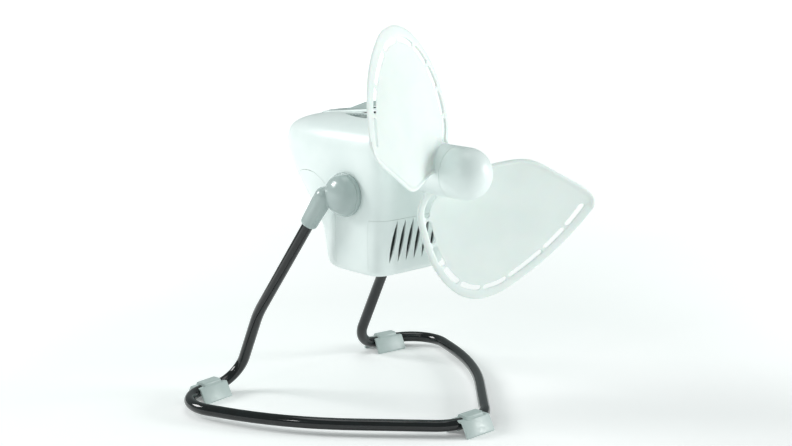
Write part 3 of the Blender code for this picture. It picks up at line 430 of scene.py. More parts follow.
def makeStudio():
    for name, (place, size, watts) in studio["lamps"].items():
        light = bpy.data.lights.new(name, "AREA")
        light.shape = "RECTANGLE"
        light.size, light.size_y = size
        light.energy = watts
        lamp = bpy.data.objects.new(name, light)
        lamp.location = place
        aim = Vector(studio["aim"]) - Vector(place)
        lamp.rotation_euler = aim.to_track_quat("-Z", "Y").to_euler()
        bpy.context.scene.collection.objects.link(lamp)
    world = bpy.data.worlds.new("world")
    world.use_nodes = True
    background = world.node_tree.nodes["Background"]
    background.inputs["Color"].default_value = hexColour(studio["sky"])
    # the backdrop itself looks white, but sends out only the soft part of the light
    ray = addNode(world.node_tree, "ShaderNodeLightPath")
    swing = addNode(world.node_tree, "ShaderNodeMapRange", inputs={"To Min": studio["world"], "To Max": 1.0},
                    links={"Value": (ray, "Is Camera Ray")})
    world.node_tree.links.new(swing.outputs["Result"], background.inputs["Strength"])
    bpy.context.scene.world = world
    bpy.context.scene.view_settings.view_transform = "Standard"


# pale floor: a flat disc that the light washes out
def makeFloor():
    points, faces = turnedGrid([(0.0, 0.0), (1.0, 0.0), (3.0, 0.0), (9.0, 0.0)], (0, 0, -0.0002), up, 96)
    material, tree, shader, place = startMaterial("paleFloor", {"Roughness": 0.75, "Specular IOR Level": 0.2,
                                                                 "Emission Color": hexColour("#ffffff")})
    mottle(tree, shader, place, 0.7, "#ffffff", "#fafdfc")
    # further out the sheet is lit from behind, so that it stays white up to the horizon
    away = addNode(tree, "ShaderNodeVectorMath", {"operation": "LENGTH"},
                   links={"Vector": (place, "Object")})
    rise = addNode(tree, "ShaderNodeMapRange", inputs={"From Min": 0.35, "From Max": 2.2, "To Min": 0.15,
                                                       "To Max": 0.85}, links={"Value": (away, "Value")})
    tree.links.new(rise.outputs["Result"], shader.inputs["Emission Strength"])
    mesh = cleanMesh("floor", points, faces)
    mesh.materials.append(material)
    floor = bpy.data.objects.new("floor", mesh)
    bpy.context.scene.collection.objects.link(floor)


makeCamera()
makeStudio()
makeFloor()
print("camera, lights and floor made")

stand = {
    "radius": 5.0, "height": 9.0, "steps": 28, "arcStep": 2.5,
    "mouth": (58.9, 31.2, 163.4), "socketDepth": 14.0,
    "knee": (72.1, 86.1, 76.6), "kneeRadius": 97.0,
    "foot": (71.7, 118.8), "footRadius": 24.0,
    "rearCorner": (157.8, 107.8), "rearRadius": 34.0,
    "side": (114.9, -2.7), "sideRadius": 292.0,
    "nose": (18.7, -103.9), "noseRadius": 40.0,
}


# straight runs joined by arcs: each arc turns from one run to the next about its own centre
def roundedPath(corners, radii, stepDegrees):
    corners = [np.array(corner, float) for corner in corners]
    path = [corners[0][None]]
    for i, radius in enumerate(radii, start=1):
        back = corners[i - 1] - corners[i]
        ahead = corners[i + 1] - corners[i]
        back, ahead = back / np.linalg.norm(back), ahead / np.linalg.norm(ahead)
        half = math.acos(np.clip(back @ ahead, -1, 1)) / 2
        middle = (back + ahead) / np.linalg.norm(back + ahead)
        centre = corners[i] + middle * radius / math.sin(half)
        start = corners[i] + back * radius / math.tan(half) - centre
        stop = corners[i] + ahead * radius / math.tan(half) - centre
        start, stop = start / radius, stop / radius
        across = stop - start * (start @ stop)
        across /= np.linalg.norm(across)
        sweep = math.acos(np.clip(start @ stop, -1, 1))
        turn = np.linspace(0, sweep, max(3, int(math.degrees(sweep) / stepDegrees) + 1))[:, None]
        path.append(centre + (np.cos(turn) * start + np.sin(turn) * across) * radius)
    path.append(corners[-1][None])
    return np.vstack(path)


# a ring of points carried along a path, kept square to it and never twisting about it, ends closed
def sweptTube(path, ring):
    tangent = np.gradient(path, axis=0)
    tangent /= np.linalg.norm(tangent, axis=1, keepdims=True)
    side = frameAlong(tangent[0])[0]
    sides = []
    for direction in tangent:
        side = side - direction * (side @ direction)
        side /= np.linalg.norm(side)
        sides.append(side)
    sides = np.array(sides)
    across = np.cross(tangent, sides)
    points = path[:, None] + ring[None, :, :1] * sides[:, None] + ring[None, :, 1:] * across[:, None]
    faces = gridQuads(len(path), len(ring), True).tolist()
    points = points.reshape(-1, 3)
    last = len(points)
    count = len(ring)
    points = np.vstack([points, path[:1], path[-1:]])
    faces += [[i, (i + 1) % count, last] for i in range(count)]
    faces += [[last - count + (i + 1) % count, last - count + i, last + 1] for i in range(count)]
    return points, faces


def circleRing(radius, steps):
    angle = np.linspace(0, 2 * np.pi, steps, endpoint=False)
    return np.stack([np.cos(angle), np.sin(angle)], axis=1) * radius


def standRoute():
    legTop, knee = np.array(stand["mouth"]), np.array(stand["knee"])
    direction = (legTop - knee) / np.linalg.norm(legTop - knee)
    floorPoints = [(*stand[key], stand["height"]) for key in ("foot", "rearCorner", "side", "nose")]
    apex = (0.0, stand["nose"][1], stand["height"])
    corners = [legTop + direction * stand["socketDepth"], knee, *floorPoints, apex]
    radii = [stand[key] for key in ("kneeRadius", "footRadius", "rearRadius", "sideRadius", "noseRadius")]
    half = roundedPath(corners, radii, stand["arcStep"]) * mm
    return np.vstack([half, half[-2::-1] * [-1, 1, 1]]), direction


def makeStandTube():
    route, _ = standRoute()
    points, faces = sweptTube(route, circleRing(stand["radius"] * mm, stand["steps"]))
    makePiece("bentTube", points, faces, finishes["black_enamel"], "stand", ["stand_tube"],
              50)


makeStandTube()
for sideName in ("left", "right"):
    washer = frame["nodes"]["tilt_washer_" + sideName].data.materials
    washer[0] = finishes["grey_plastic"]
print("stand tube made")

footShape = {
    "length": 32.0, "saddleLength": 20.0, "halfWidth": 12.9, "roofHalf": 6.4, "roof": 13.3,
    "skirt": 1.5, "lip": 1.3, "bore": 5.15, "saddleWall": 2.3, "mouthHalf": 4.0,
    "rearX": 107.0, "teeth": 5, "toothPitch": 5.6, "toothLength": 2.4, "toothInset": 1.2,
}


# outline carried along local X: a closed loop in the local (y, z) plane with rounded corners
def prismPoints(loop, length, place, turn, reach=0.35, bulge=0.4):
    rounded = roundProfile(np.vstack([loop, loop[:1], loop[1:2]]), reach, 4)[1:-1]
    rounded = rounded[:-1] if np.allclose(rounded[0], rounded[-1]) else rounded
    centre = rounded.mean(axis=0)
    shares = [(-0.5, 0.0), (-0.5, 0.6), (-0.5 + bulge / length, 1.0),
              (0.5 - bulge / length, 1.0), (0.5, 0.6), (0.5, 0.0)]
    rows = []
    for share, out in shares:
        inset = bulge * (1 - min(out / 0.6, 1.0) * 0.4 - (0.6 if out == 1.0 else 0.0))
        shape = rounded if out == 1.0 else rounded + (centre - rounded) / np.linalg.norm(
            centre - rounded, axis=1, keepdims=True) * inset
        if out:
            rows.append(np.column_stack([np.full(len(shape), share * length), shape]))
    points = np.vstack(rows) * mm
    cosine, sine = math.cos(turn), math.sin(turn)
    x, y = points[:, 0] * cosine - points[:, 1] * sine, points[:, 0] * sine + points[:, 1] * cosine
    points = np.stack([x, y, points[:, 2]], axis=1) + place
    count = len(rounded)
    faces = gridQuads(len(rows), count, True).tolist()
    faces.append(list(range(count))[::-1])
    faces.append(list(range(len(points) - count, len(points))))
    return points, faces


def arcPoints(centre, radius, start, stop, count):
    angle = np.radians(np.linspace(start, stop, count))
    return np.stack([centre[0] + radius * np.cos(angle), centre[1] + radius * np.sin(angle)], axis=1)


def footLoops():
    s, height = footShape, stand["height"]
    half, top, roof, wall, lip = s["halfWidth"], s["roofHalf"], s["roof"], s["skirt"], s["lip"]
    # flared hood: down one outer skirt, back up inside it, across under the roof and down the other
    hood = [(-half, 0.05), (-half, lip), (-top, roof), (top, roof), (half, lip), (half, 0.05),
            (half - wall * 1.3, 0.05), (half - wall * 1.15, lip), (top - wall * 0.8, roof - wall),
            (-top + wall * 0.8, roof - wall), (-half + wall * 1.15, lip), (-half + wall * 1.3, 0.05)]
    centre = (0.0, height)
    # clip: an open ring round the tube, its two jaws turned out a little
    outer = arcPoints(centre, s["bore"] + s["saddleWall"], -38, 218, 29)
    inner = arcPoints(centre, s["bore"], 218, -38, 29)
    jaw = s["mouthHalf"] + 1.7
    leftJaw = [(-jaw - 1.0, 1.2), (-jaw + 0.3, 0.7)]
    rightJaw = [(jaw - 0.3, 0.7), (jaw + 1.0, 1.2)]
    clip = np.vstack([outer, leftJaw, inner, rightJaw])
    # saddle: a low raised strip over the roof
    saddleTop = height + s["bore"] + s["saddleWall"]
    saddle = [(-5.6, roof - 0.7), (-5.0, saddleTop - 0.9), (-3.6, saddleTop), (3.6, saddleTop),
              (5.0, saddleTop - 0.9), (5.6, roof - 0.7)]
    return {"hood": np.array(hood), "clip": clip, "saddle": np.array(saddle)}


def makeFoot(node, place, turn):
    loops = footLoops()
    s = footShape
    lengths = {"hood": s["length"], "clip": s["saddleLength"] - 0.6, "saddle": s["saddleLength"]}
    allPoints, allFaces, count = [], [], 0
    for key in ("hood", "clip", "saddle"):
        points, faces = prismPoints(loops[key], lengths[key], place, turn)
        allPoints.append(points)
        allFaces += [[i + count for i in face] for face in faces]
        count += len(points)
    # grip teeth along the foot of each skirt
    for side in (-1, 1):
        for k in range(s["teeth"]):
            y = side * (s["halfWidth"] - s["toothInset"])
            tooth = np.array([(y - 0.7, 0.02), (y - 0.5, 0.9), (y + 0.5, 0.9), (y + 0.7, 0.02)])
            along = (k - s["teeth"] // 2) * s["toothPitch"] * mm
            shift = np.array([math.cos(turn), math.sin(turn), 0.0]) * along
            points, faces = prismPoints(tooth, s["toothLength"], place + shift, turn, 0.2, 0.2)
            allPoints.append(points)
            allFaces += [[i + count for i in face] for face in faces]
            count += len(points)
    makePiece(node.replace("foot", "clipFoot"), np.vstack(allPoints), allFaces, finishes["foot"],
              "stand", [node], 30)


def makeFeet():
    bar = np.subtract(stand["rearCorner"], stand["foot"])
    share = (footShape["rearX"] - stand["foot"][0]) / bar[0]
    rearY = stand["foot"][1] + bar[1] * share
    slant = math.atan2(bar[1], bar[0])
    makeFoot("foot_front", np.array([0.0, stand["nose"][1], 0.0]) * mm, 0.0)
    makeFoot("foot_rear_right", np.array([footShape["rearX"], rearY, 0.0]) * mm, slant)
    makeFoot("foot_rear_left", np.array([-footShape["rearX"], rearY, 0.0]) * mm, -slant)


makeFeet()
print("clip feet made")

elbowShape = {
    "start": 45.4, "radius": 18.6, "depth": 14.6, "flange": 1.9,
    "armRadius": 7.5, "armTop": 8.2, "armLength": 31.0, "voxel": 0.55, "softening": 9,
}


# dome: a turned cap; arm: a turned rod with a round top. Both are voxel merged and relaxed so that
# the corner between them becomes a fillet, and the thin flange is added after
def makeElbow(side, sign):
    s = elbowShape
    outward = np.array([sign, 0.0, 0.0])
    base = np.array([sign * s["start"] * mm, tiltPivot[1], tiltPivot[2]])
    angle = np.radians(np.linspace(90, 0, 22))
    core = s["radius"] - 0.9
    rise = s["depth"] - s["flange"]
    dome = [(core * math.cos(a) ** 0.9, s["flange"] + rise * math.sin(a)) for a in angle]
    dome += [(core, 0.3), (0.0, 0.3)]
    domePoints, domeFaces = turnedGrid(np.array(dome) * mm, base, outward, 72)
    _, direction = standRoute()
    along = direction * [sign, 1, 1]
    mouth = np.array(stand["mouth"]) * [sign, 1, 1] * mm
    capAngle = np.radians(np.linspace(0, 88, 14))
    arm = [(s["armTop"] * math.sin(a), s["armLength"] + s["armTop"] * math.cos(a)) for a in capAngle]
    arm += [(s["armTop"], s["armLength"] * 0.7), (s["armRadius"], 2.0), (s["armRadius"] - 0.1, 0.6),
            (s["armRadius"] - 0.7, 0.0), (5.25, 0.0), (5.25, 14.2), (0.0, 14.2)]
    armPoints, armFaces = turnedGrid(np.array(arm) * mm, mouth, along, 56)
    faces = np.vstack([domeFaces, armFaces + len(domePoints)])
    mesh = cleanMesh("elbowBlank", np.vstack([domePoints, armPoints]), faces)
    blank = bpy.data.objects.new("elbowBlank", mesh)
    bpy.context.scene.collection.objects.link(blank)
    merge = blank.modifiers.new("merge", "REMESH")
    merge.mode = "VOXEL"
    merge.voxel_size = s["voxel"] * mm
    relax = blank.modifiers.new("relax", "SMOOTH")
    relax.factor = 0.5
    relax.iterations = s["softening"]
    bpy.context.view_layer.update()
    settled = bpy.data.meshes.new_from_object(blank.evaluated_get(bpy.context.evaluated_depsgraph_get()))
    bpy.data.objects.remove(blank, do_unlink=True)
    points = np.zeros(len(settled.vertices) * 3)
    settled.vertices.foreach_get("co", points)
    points = points.reshape(-1, 3)
    bodyFaces = [list(p.vertices) for p in settled.polygons]
    flange = roundProfile([(0.0, s["flange"] + 0.3), (s["radius"] - 0.7, s["flange"] + 0.3),
                           (s["radius"], s["flange"] - 0.3), (s["radius"], 0.0), (0.0, 0.0)], 0.35)
    flangePoints, flangeFaces = turnedGrid(flange * mm, base, outward, 96)
    bodyFaces += (flangeFaces + len(points)).tolist()
    makePiece("pivotElbow_" + side, np.vstack([points, flangePoints]), bodyFaces, finishes["grey_plastic"],
              "stand", ["elbow_" + side], 42)


for sideName, sideSign in (("left", -1.0), ("right", 1.0)):
    makeElbow(sideName, sideSign)
print("elbows made")

housing = {
    "halfWidth": 43.0, "front": -38.0, "rear": 108.5, "bottom": 123.0, "top": 255.6, "wall": 2.2,
    "frontSquare": 6.0, "rearSquare": 2.7, "seam": 0.11, "capReach": 40.0,
    "panelTop": 172.5, "panelDepth": 13.0,
    "archY": 52.7, "archZ": 167.3, "archRadius": 38.0,
    "vents": 6, "ventPitch": 9.2, "ventLength": 36.5, "ventWidth": 4.2, "ventDrop": 18.7,
    "ventShift": -1.8, "ventLean": 14.7, "panelWall": 1.4,
    "shaftHole": 7.0, "pivotHole": 3.0, "glandHole": 5.9, "glandZ": 141.0,
    # level sections: height above the bottom, then how far rear, front and sides are drawn in
    "levels": [(0.0, 71.5, 10.0, 10.0), (1.6, 66.5, 4.5, 4.5), (6.0, 63.0, 1.0, 1.0),
               (15.0, 61.5, 0.0, 0.0), (30.0, 58.0, 0.0, 0.0), (45.0, 47.0, 0.0, 0.0),
               (60.0, 30.5, 0.0, 0.0), (75.0, 15.5, 0.0, 0.0), (89.0, 5.0, 0.0, 0.0),
               (103.0, 0.0, 0.0, 0.2), (113.0, 2.5, 0.4, 1.8), (120.0, 11.5, 2.0, 5.4),
               (125.5, 28.5, 5.5, 12.0), (130.0, 53.5, 11.0, 21.0), (132.6, 77.5, 20.0, 31.0)],
}
switchShape = {
    "slope": 7.0, "bezel": (20.0, 66.0, 2.4), "rocker": (14.0, 52.0), "centreY": 38.0,
    "throw": 12.0, "proud": 1.2,
}


# rows of values made smooth with a monotone cubic, so that no bulge appears between them
def smoothRows(x, xs, values):
    xs, values = np.asarray(xs, float), np.asarray(values, float)
    step = np.diff(xs)
    slope = np.diff(values) / step
    weights = (step[1:] + 2 * step[:-1], 2 * step[1:] + step[:-1])
    with np.errstate(divide="ignore", invalid="ignore"):
        inner = (weights[0] + weights[1]) / (weights[0] / slope[:-1] + weights[1] / slope[1:])
    inner = np.where(slope[:-1] * slope[1:] > 0, inner, 0.0)
    tangent = np.concatenate([[slope[0]], inner, [slope[-1]]])
    i = np.clip(np.searchsorted(xs, x) - 1, 0, len(step) - 1)
    t = (x - xs[i]) / step[i]
    h = step[i]
    return ((2 * t ** 3 - 3 * t ** 2 + 1) * values[i] + (t ** 3 - 2 * t ** 2 + t) * h * tangent[i]
            + (3 * t ** 2 - 2 * t ** 3) * values[i + 1] + (t ** 3 - t ** 2) * h * tangent[i + 1])


levels = np.array(housing["levels"]) * mm
climb = np.concatenate([[0], np.cumsum(np.hypot(np.diff(levels[:, 0]), 0.7 * np.abs(np.diff(levels[:, 1]))
                                                 + 0.3 * np.abs(np.diff(levels[:, 3]))))])


# superellipse plan: across = |cos|^(2/n), along = |sin|^(2/n), n larger in front than behind, at even
# steps of length; the angles crowd towards each quarter's ends, where the plan runs fastest
def planShape(count):
    u = np.linspace(0, 1, 2000, endpoint=False)
    eased = u ** 3 / (u ** 3 + (1 - u) ** 3)
    angle = np.concatenate([(quarter + eased) * np.pi / 2 for quarter in (-2, -1, 0, 1)] + [[np.pi]])
    power = np.where(np.sin(angle) > 0, 2 / housing["rearSquare"], 2 / housing["frontSquare"])
    x = np.sign(np.cos(angle)) * np.abs(np.cos(angle)) ** power
    y = np.sign(np.sin(angle)) * np.abs(np.sin(angle)) ** power
    length = np.concatenate([[0], np.cumsum(np.hypot(np.diff(x), np.diff(y)))])
    even = np.linspace(0, length[-1], count)
    return np.interp(even, length, x), np.interp(even, length, y)


planX, planY = planShape(1441)


# the housing's skin: share of the way round (0 at the left side, through the front), climb up the
# levels; below the first level and above the last the plan shrinks to its middle, which closes it
def housingSkin(around, climbed):
    over = np.maximum(-climbed, climbed - climb[-1]) / (housing["capReach"] * mm)
    shrink = 1 - np.clip(over, 0, 1)
    rows = [smoothRows(np.clip(climbed, 0, climb[-1]), climb, levels[:, k]) for k in range(4)]
    half = housing["halfWidth"] * mm - rows[3]
    back, fore = housing["rear"] * mm - rows[1], housing["front"] * mm + rows[2]
    share = np.linspace(0, 1, len(planX))
    x = half * np.interp(around % 1.0, share, planX)
    along = np.interp(around % 1.0, share, planY)
    middle = fore + np.minimum(half, (back - fore) / 2)
    y = middle + along * np.where(along > 0, back - middle, middle - fore)
    centre = (back + fore) / 2
    return np.stack([x * shrink, centre + (y - centre) * shrink, housing["bottom"] * mm + rows[0]], axis=-1)


# distance inside the rear cover's region: an arch over straight flanks
def rearRegion(p):
    y, z = p[..., 1] - housing["archY"] * mm, p[..., 2] - housing["archZ"] * mm
    radius = housing["archRadius"] * mm
    return np.where(z > 0, radius - np.hypot(y, z), y + radius)


def frontRegion(p):
    limit = (housing["front"] + housing["panelDepth"]) * mm
    return np.minimum(limit - p[..., 1], housing["panelTop"] * mm - p[..., 2])


# distance outside one slanted spindle-shaped vent
def ventDistance(p, middleX):
    lean = math.radians(housing["ventLean"])
    x, z = p[..., 0] - middleX, p[..., 2] - (housing["panelTop"] - housing["ventDrop"]) * mm
    along = x * math.sin(lean) + z * math.cos(lean)
    off = x * math.cos(lean) - z * math.sin(lean)
    share = np.clip(along / (housing["ventLength"] * mm) + 0.5, 0, 1)
    half = housing["ventWidth"] / 2 * mm * np.sin(np.pi * share) ** 0.8
    beyond = np.maximum(np.abs(along) - housing["ventLength"] / 2 * mm, 0)
    return np.where(p[..., 1] < 0, np.abs(off) - half + beyond, 0.05)


# local places in the switch's frame: x across, y along towards the rear, z out of the bezel
def switchLocal(p):
    slope = math.radians(switchShape["slope"])
    y, z = p[..., 1] - switchShape["centreY"] * mm, p[..., 2] - housing["top"] * mm
    return p[..., 0], y * math.cos(slope) - z * math.sin(slope), y * math.sin(slope) + z * math.cos(slope)


def switchWorld(points):
    slope = -math.radians(switchShape["slope"])
    x, y, z = np.asarray(points, float).T * mm
    return np.stack([x, y * math.cos(slope) - z * math.sin(slope) + switchShape["centreY"] * mm,
                     y * math.sin(slope) + z * math.cos(slope) + housing["top"] * mm], axis=1)


def bezelDistance(p):
    x, y, _ = switchLocal(p)
    width, length, _ = switchShape["bezel"]
    return np.where(p[..., 2] > 0.24, np.maximum(np.abs(x) - (width / 2 + 0.15) * mm,
                                                 np.abs(y) - (length / 2 + 0.15) * mm), 0.05)


# leaf-shaped grille beside the switch, one each side: distance outside it
grille = {"middle": (16.5, 5.0), "length": 52.0, "width": 9.5, "pitch": 3.2, "gap": 0.95,
          "sunk": 1.1, "thick": 0.8, "overlap": 0.6}


def grilleDistance(p):
    x, y = np.abs(p[..., 0]) - grille["middle"][0] * mm, p[..., 1] - grille["middle"][1] * mm
    share = np.clip(y / (grille["length"] * mm) + 0.5, 0, 1)
    half = grille["width"] / 2 * mm * np.sin(np.pi * share) ** 0.8
    beyond = np.maximum(np.abs(y) - grille["length"] / 2 * mm, 0)
    return np.where(p[..., 2] > 0.235, np.abs(x) - half + beyond, 0.05)


def roundHole(p, a, b, centre, radius, where):
    return np.where(where, np.hypot(p[..., a] - centre[0], p[..., b] - centre[1]) - radius, 0.05)


def keepMain(p):
    gap = housing["seam"] * mm
    shaft = roundHole(p, 0, 2, (0, fanAxis[2]), housing["shaftHole"] * mm, p[..., 1] < -0.02)
    pivots = roundHole(p, 1, 2, tiltPivot[1:], housing["pivotHole"] * mm, np.abs(p[..., 0]) > 0.03)
    return np.minimum.reduce([-rearRegion(p) - gap, -frontRegion(p) - gap, bezelDistance(p), shaft, pivots,
                              grilleDistance(p)])


def keepRear(p):
    gland = roundHole(p, 0, 2, (0, housing["glandZ"] * mm), housing["glandHole"] * mm, p[..., 1] > 0)
    return np.minimum(rearRegion(p) - housing["seam"] * mm, gland)


def keepFront(p):
    middle = (housing["vents"] - 1) / 2
    vents = [ventDistance(p, ((i - middle) * housing["ventPitch"] + housing["ventShift"]) * mm)
             for i in range(housing["vents"])]
    return np.minimum.reduce([frontRegion(p) - housing["seam"] * mm, *vents])


# a shell: the trimmed skin, a second skin one wall further in, and walls along every edge
def makeShell(name, node, columns, rows, keep, closed, wall=housing["wall"]):
    points, triangles = trimSheet(housingSkin, columns, rows, keep, closed)
    inner = points - pointNormals(points, triangles) * wall * mm
    allPoints, faces = closeSkins(points, inner, triangles)
    makePiece(name, allPoints, faces, finishes["white_plastic"], "head", [node], 40)


def makeHousing():
    full = climb[-1]
    # the rear cover's and the panel's sheets end a little above their own tops
    archTop = np.interp(85 * mm, levels[:, 0], climb)
    panelTop = np.interp(52 * mm, levels[:, 0], climb)
    cap = housing["capReach"] * mm
    around = np.linspace(0, 1, 240, endpoint=False)
    below = np.linspace(-cap, 0, 30, endpoint=False)
    above = np.linspace(full, full + cap, 26)[1:]
    makeShell("upperShell", "main_housing", around, np.hstack([below, np.linspace(0, full, 160), above]),
              keepMain, True)
    makeShell("rearCover", "rear_cover", around, np.hstack([below, np.linspace(0, archTop, 90)]),
              keepRear, True)
    makeShell("ventedPanel", "front_panel", np.linspace(0.03, 0.47, 260),
              np.hstack([below, np.linspace(0, panelTop, 110)]), keepFront, False, housing["panelWall"])


makeHousing()
print("housing shells made")


# grille slats: a sheet a little under the skin, cut across into slats
def makeGrille():
    def slats(p):
        along = p[..., 1] / mm - grille["middle"][1] + 40
        gap = np.abs(along % grille["pitch"] - grille["pitch"] / 2) - grille["gap"]
        return np.minimum(gap * mm, grille["overlap"] * mm - grilleDistance(p))
    for name, sign in (("left", -1), ("right", 1)):
        points, triangles = trimSheet(lambda a, b: topSheet(a, b, sign), np.linspace(10, 23, 64),
                                      np.linspace(-23, 33, 250), slats)
        normals = pointNormals(points, triangles)
        normals *= np.sign(normals[:, 2:3])
        upper = points - normals * grille["sunk"] * mm
        lower = upper - normals * grille["thick"] * mm
        allPoints, faces = closeSkins(upper, lower, triangles)
        makePiece("topGrille_" + name, allPoints, faces, finishes["grey_plastic"], "head", sharp=40)


# height of the housing's top above a place (x, y) in mm: the highest level whose plan still holds it
def topSheet(x, y, sign):
    t = np.linspace(0.55 * climb[-1], climb[-1], 400)
    rows = [smoothRows(t, climb, levels[:, k]) for k in range(4)]
    half = housing["halfWidth"] * mm - rows[3]
    back, fore = housing["rear"] * mm - rows[1], housing["front"] * mm + rows[2]
    middle = fore + np.minimum(half, (back - fore) / 2)
    px, py = np.abs(x[..., None]) * mm, y[..., None] * mm
    rear = py > middle
    power = np.where(rear, housing["rearSquare"], housing["frontSquare"])
    reach = np.where(rear, back - middle, middle - fore)
    fill = (px / half) ** power + (np.abs(py - middle) / reach) ** power
    inside = fill <= 1
    last = np.clip(inside.shape[-1] - 1 - np.argmax(inside[..., ::-1], axis=-1), 0, len(t) - 2)
    before = np.take_along_axis(fill, last[..., None], axis=-1)[..., 0]
    after = np.take_along_axis(fill, last[..., None] + 1, axis=-1)[..., 0]
    share = np.clip((1 - before) / np.maximum(after - before, 1e-9), 0, 1)
    z = rows[0][last] * (1 - share) + rows[0][last + 1] * share
    z = np.where(last >= len(t) - 2, rows[0][-1], z)
    return np.stack([sign * x * mm, y * mm, housing["bottom"] * mm + z], axis=-1)


# rounded rectangle, the same number of points on every one, from the right corner on
def roundRectangle(halfWidth, halfLength, corner, count=7):
    turn = np.linspace(0, np.pi / 2, count)
    loop = []
    for k, (sx, sy) in enumerate(((1, 1), (-1, 1), (-1, -1), (1, -1))):
        angle = turn + k * np.pi / 2
        loop.append(np.stack([sx * (halfWidth - corner) + corner * np.cos(angle),
                              sy * (halfLength - corner) + corner * np.sin(angle)], axis=1))
    return np.vstack(loop)


def makeBezel():
    width, length, thick = switchShape["bezel"]
    wide, long = switchShape["rocker"]
    # rows across the ring: (share from window to edge as an inset of each, height)
    edge = [(0.0, -thick), (0.0, -1.4), (0.12, -0.8), (0.45, -0.3), (0.9, -0.05), (1.4, 0.0)]
    lip = [(1.0, 0.0), (0.45, -0.06), (0.12, -0.3), (0.0, -0.8), (0.0, -thick)]
    loops = [(roundRectangle(width / 2 - inset, length / 2 - inset, 2.6 - 0.6 * min(inset, 1)), z)
             for inset, z in edge]
    loops += [(roundRectangle(wide / 2 + 0.7 + inset, long / 2 + 0.9 + inset, 1.2 + 0.6 * inset), z)
              for inset, z in lip]
    local = np.vstack([np.column_stack([loop, np.full(len(loop), z)]) for loop, z in loops])
    count = len(loops[0][0])
    faces = gridQuads(len(loops), count, True).tolist()
    shift = (len(loops) - 1) * count
    faces += [[i, (i + 1) % count, (i + 1) % count + shift, i + shift] for i in range(count)]
    makePiece("switchBezel", switchWorld(local), faces, finishes["white_plastic"], "head",
              ["switch_bezel"], 50)


def makeRocker():
    wide, long = switchShape["rocker"]
    half, proud = long / 2, switchShape["proud"]
    rise = half * math.tan(math.radians(switchShape["throw"]))
    tip = math.sqrt(half ** 2 - (4.0 + proud + rise) ** 2)
    outline = np.array([(-tip, proud + rise * tip / half), (-1.5, proud + 0.35), (1.5, proud),
                        (half, proud - 0.4), (half, -1.0), (0.62 * half, -3.2), (0.25 * half, -7.0),
                        (-0.25 * half, -7.0), (-half, -1.0 + 0.35 * rise)])
    points, faces = prismPoints(outline, wide, np.zeros(3), 0.0, 0.9, 0.8)
    makePiece("switchRocker", switchWorld(points / mm), faces, finishes["grey_plastic"], "rocker",
              ["switch_rocker"], 32)


makeGrille()
makeBezel()
makeRocker()
print("switch made")

hubShape = {"radius": 21.4, "edge": 1.0, "pocket": 9.0, "pocketDepth": 7.0, "bore": 4.2,
            "capStraight": 11.0, "seam": 0.15, "capWall": 2.2}


def makeHub():
    s = hubShape
    forward = np.array([0.0, -1.0, 0.0])
    start = fanAxis + [0, hubHigh.y, 0]
    depth = (hubHigh.y - hubLow.y) / mm
    barrel = roundProfile([(s["bore"], depth - s["pocketDepth"]), (s["pocket"], depth - s["pocketDepth"]),
                           (s["pocket"], depth), (s["radius"], depth), (s["radius"], 0.0),
                           (s["bore"], 0.0)], s["edge"], 7)
    barrel = np.vstack([barrel, barrel[:1]])
    points, faces = turnedGrid(barrel * mm, start, forward, 160)
    makePiece("hubBarrel", points, faces, finishes["white_plastic"], "rotor", ["hub_barrel"],
              60)
    # cap: a short straight wall, then a quarter ellipse; the same again inside, one wall in
    reach = (capHigh.y - capLow.y) / mm + s["seam"]
    turn = np.radians(np.linspace(90, 0, 40))
    domeHeight = reach - s["capStraight"] - 0.3
    outside = [(s["radius"] * math.sin(a), s["capStraight"] + domeHeight * math.cos(a)) for a in turn]
    inner = s["radius"] - s["capWall"]
    inside = [(inner * math.sin(a), s["capStraight"] + (domeHeight - s["capWall"]) * math.cos(a))
              for a in turn[::-1]]
    rim = [(inner, s["seam"]), (s["radius"] - 0.5, s["seam"]), (s["radius"] - 0.12, s["seam"] + 0.12),
           (s["radius"], s["seam"] + 0.5)]
    profile = np.array(inside + rim + outside)
    points, faces = turnedGrid(profile * mm, fanAxis + [0, hubLow.y, 0], forward, 160)
    makePiece("noseCap", points, faces, finishes["white_plastic"], "rotor", ["nose_cap"],
              60)


makeHub()
print("hub made")

blade = {
    "radius": 135.5, "middle": 140.0, "plane": -70.0, "rootRadius": 18.6,
    "leading": [(20.0, 93.0), (32.0, 88.5), (44.0, 85.5), (57.0, 84.6), (68.0, 86.3), (79.0, 90.3),
                (92.0, 95.0), (107.0, 98.8), (121.0, 101.6), (130.5, 104.2), (134.8, 107.2)],
    "trailing": [(134.6, 150.5), (130.0, 156.9), (120.0, 163.8), (104.0, 171.2), (85.0, 179.2),
                 (67.0, 187.3), (51.0, 197.0), (40.0, 206.0), (30.0, 211.5), (20.0, 214.5)],
    "slots": 9, "slotWidth": 4.4, "bridge": 2.8, "rimTip": 11.0, "rimRoot": 8.0,
    "lead": 3.0,
    "skin": 0.85, "sink": 0.45, "edgeBead": 3.2, "beadFront": 1.2, "beadBack": 1.2, "cell": 0.85,
}


# depth of the blade at a place in the disc plane (mm): a plane pitched about the blade's middle line,
# bowed by the squares and cubes of the two distances u and v from the middle line
def bladeDepth(x, z):
    turn = math.radians(blade["middle"])
    u = (x * math.sin(turn) + z * math.cos(turn)) / 100
    v = (x * math.cos(turn) - z * math.sin(turn)) / 100
    bow = 5.5 * u * u + 2.9 * u * v - 10.6 * v * v
    twist = 2.2 * u ** 3 + 1.8 * u * u * v - 0.8 * u * v * v + 0.9 * v ** 3
    return blade["plane"] - 20.5 * u + 43.3 * v + bow + twist


def clockPoint(radius, clock):
    angle = np.radians(clock)
    return np.stack([radius * np.sin(angle), radius * np.cos(angle)], axis=-1)


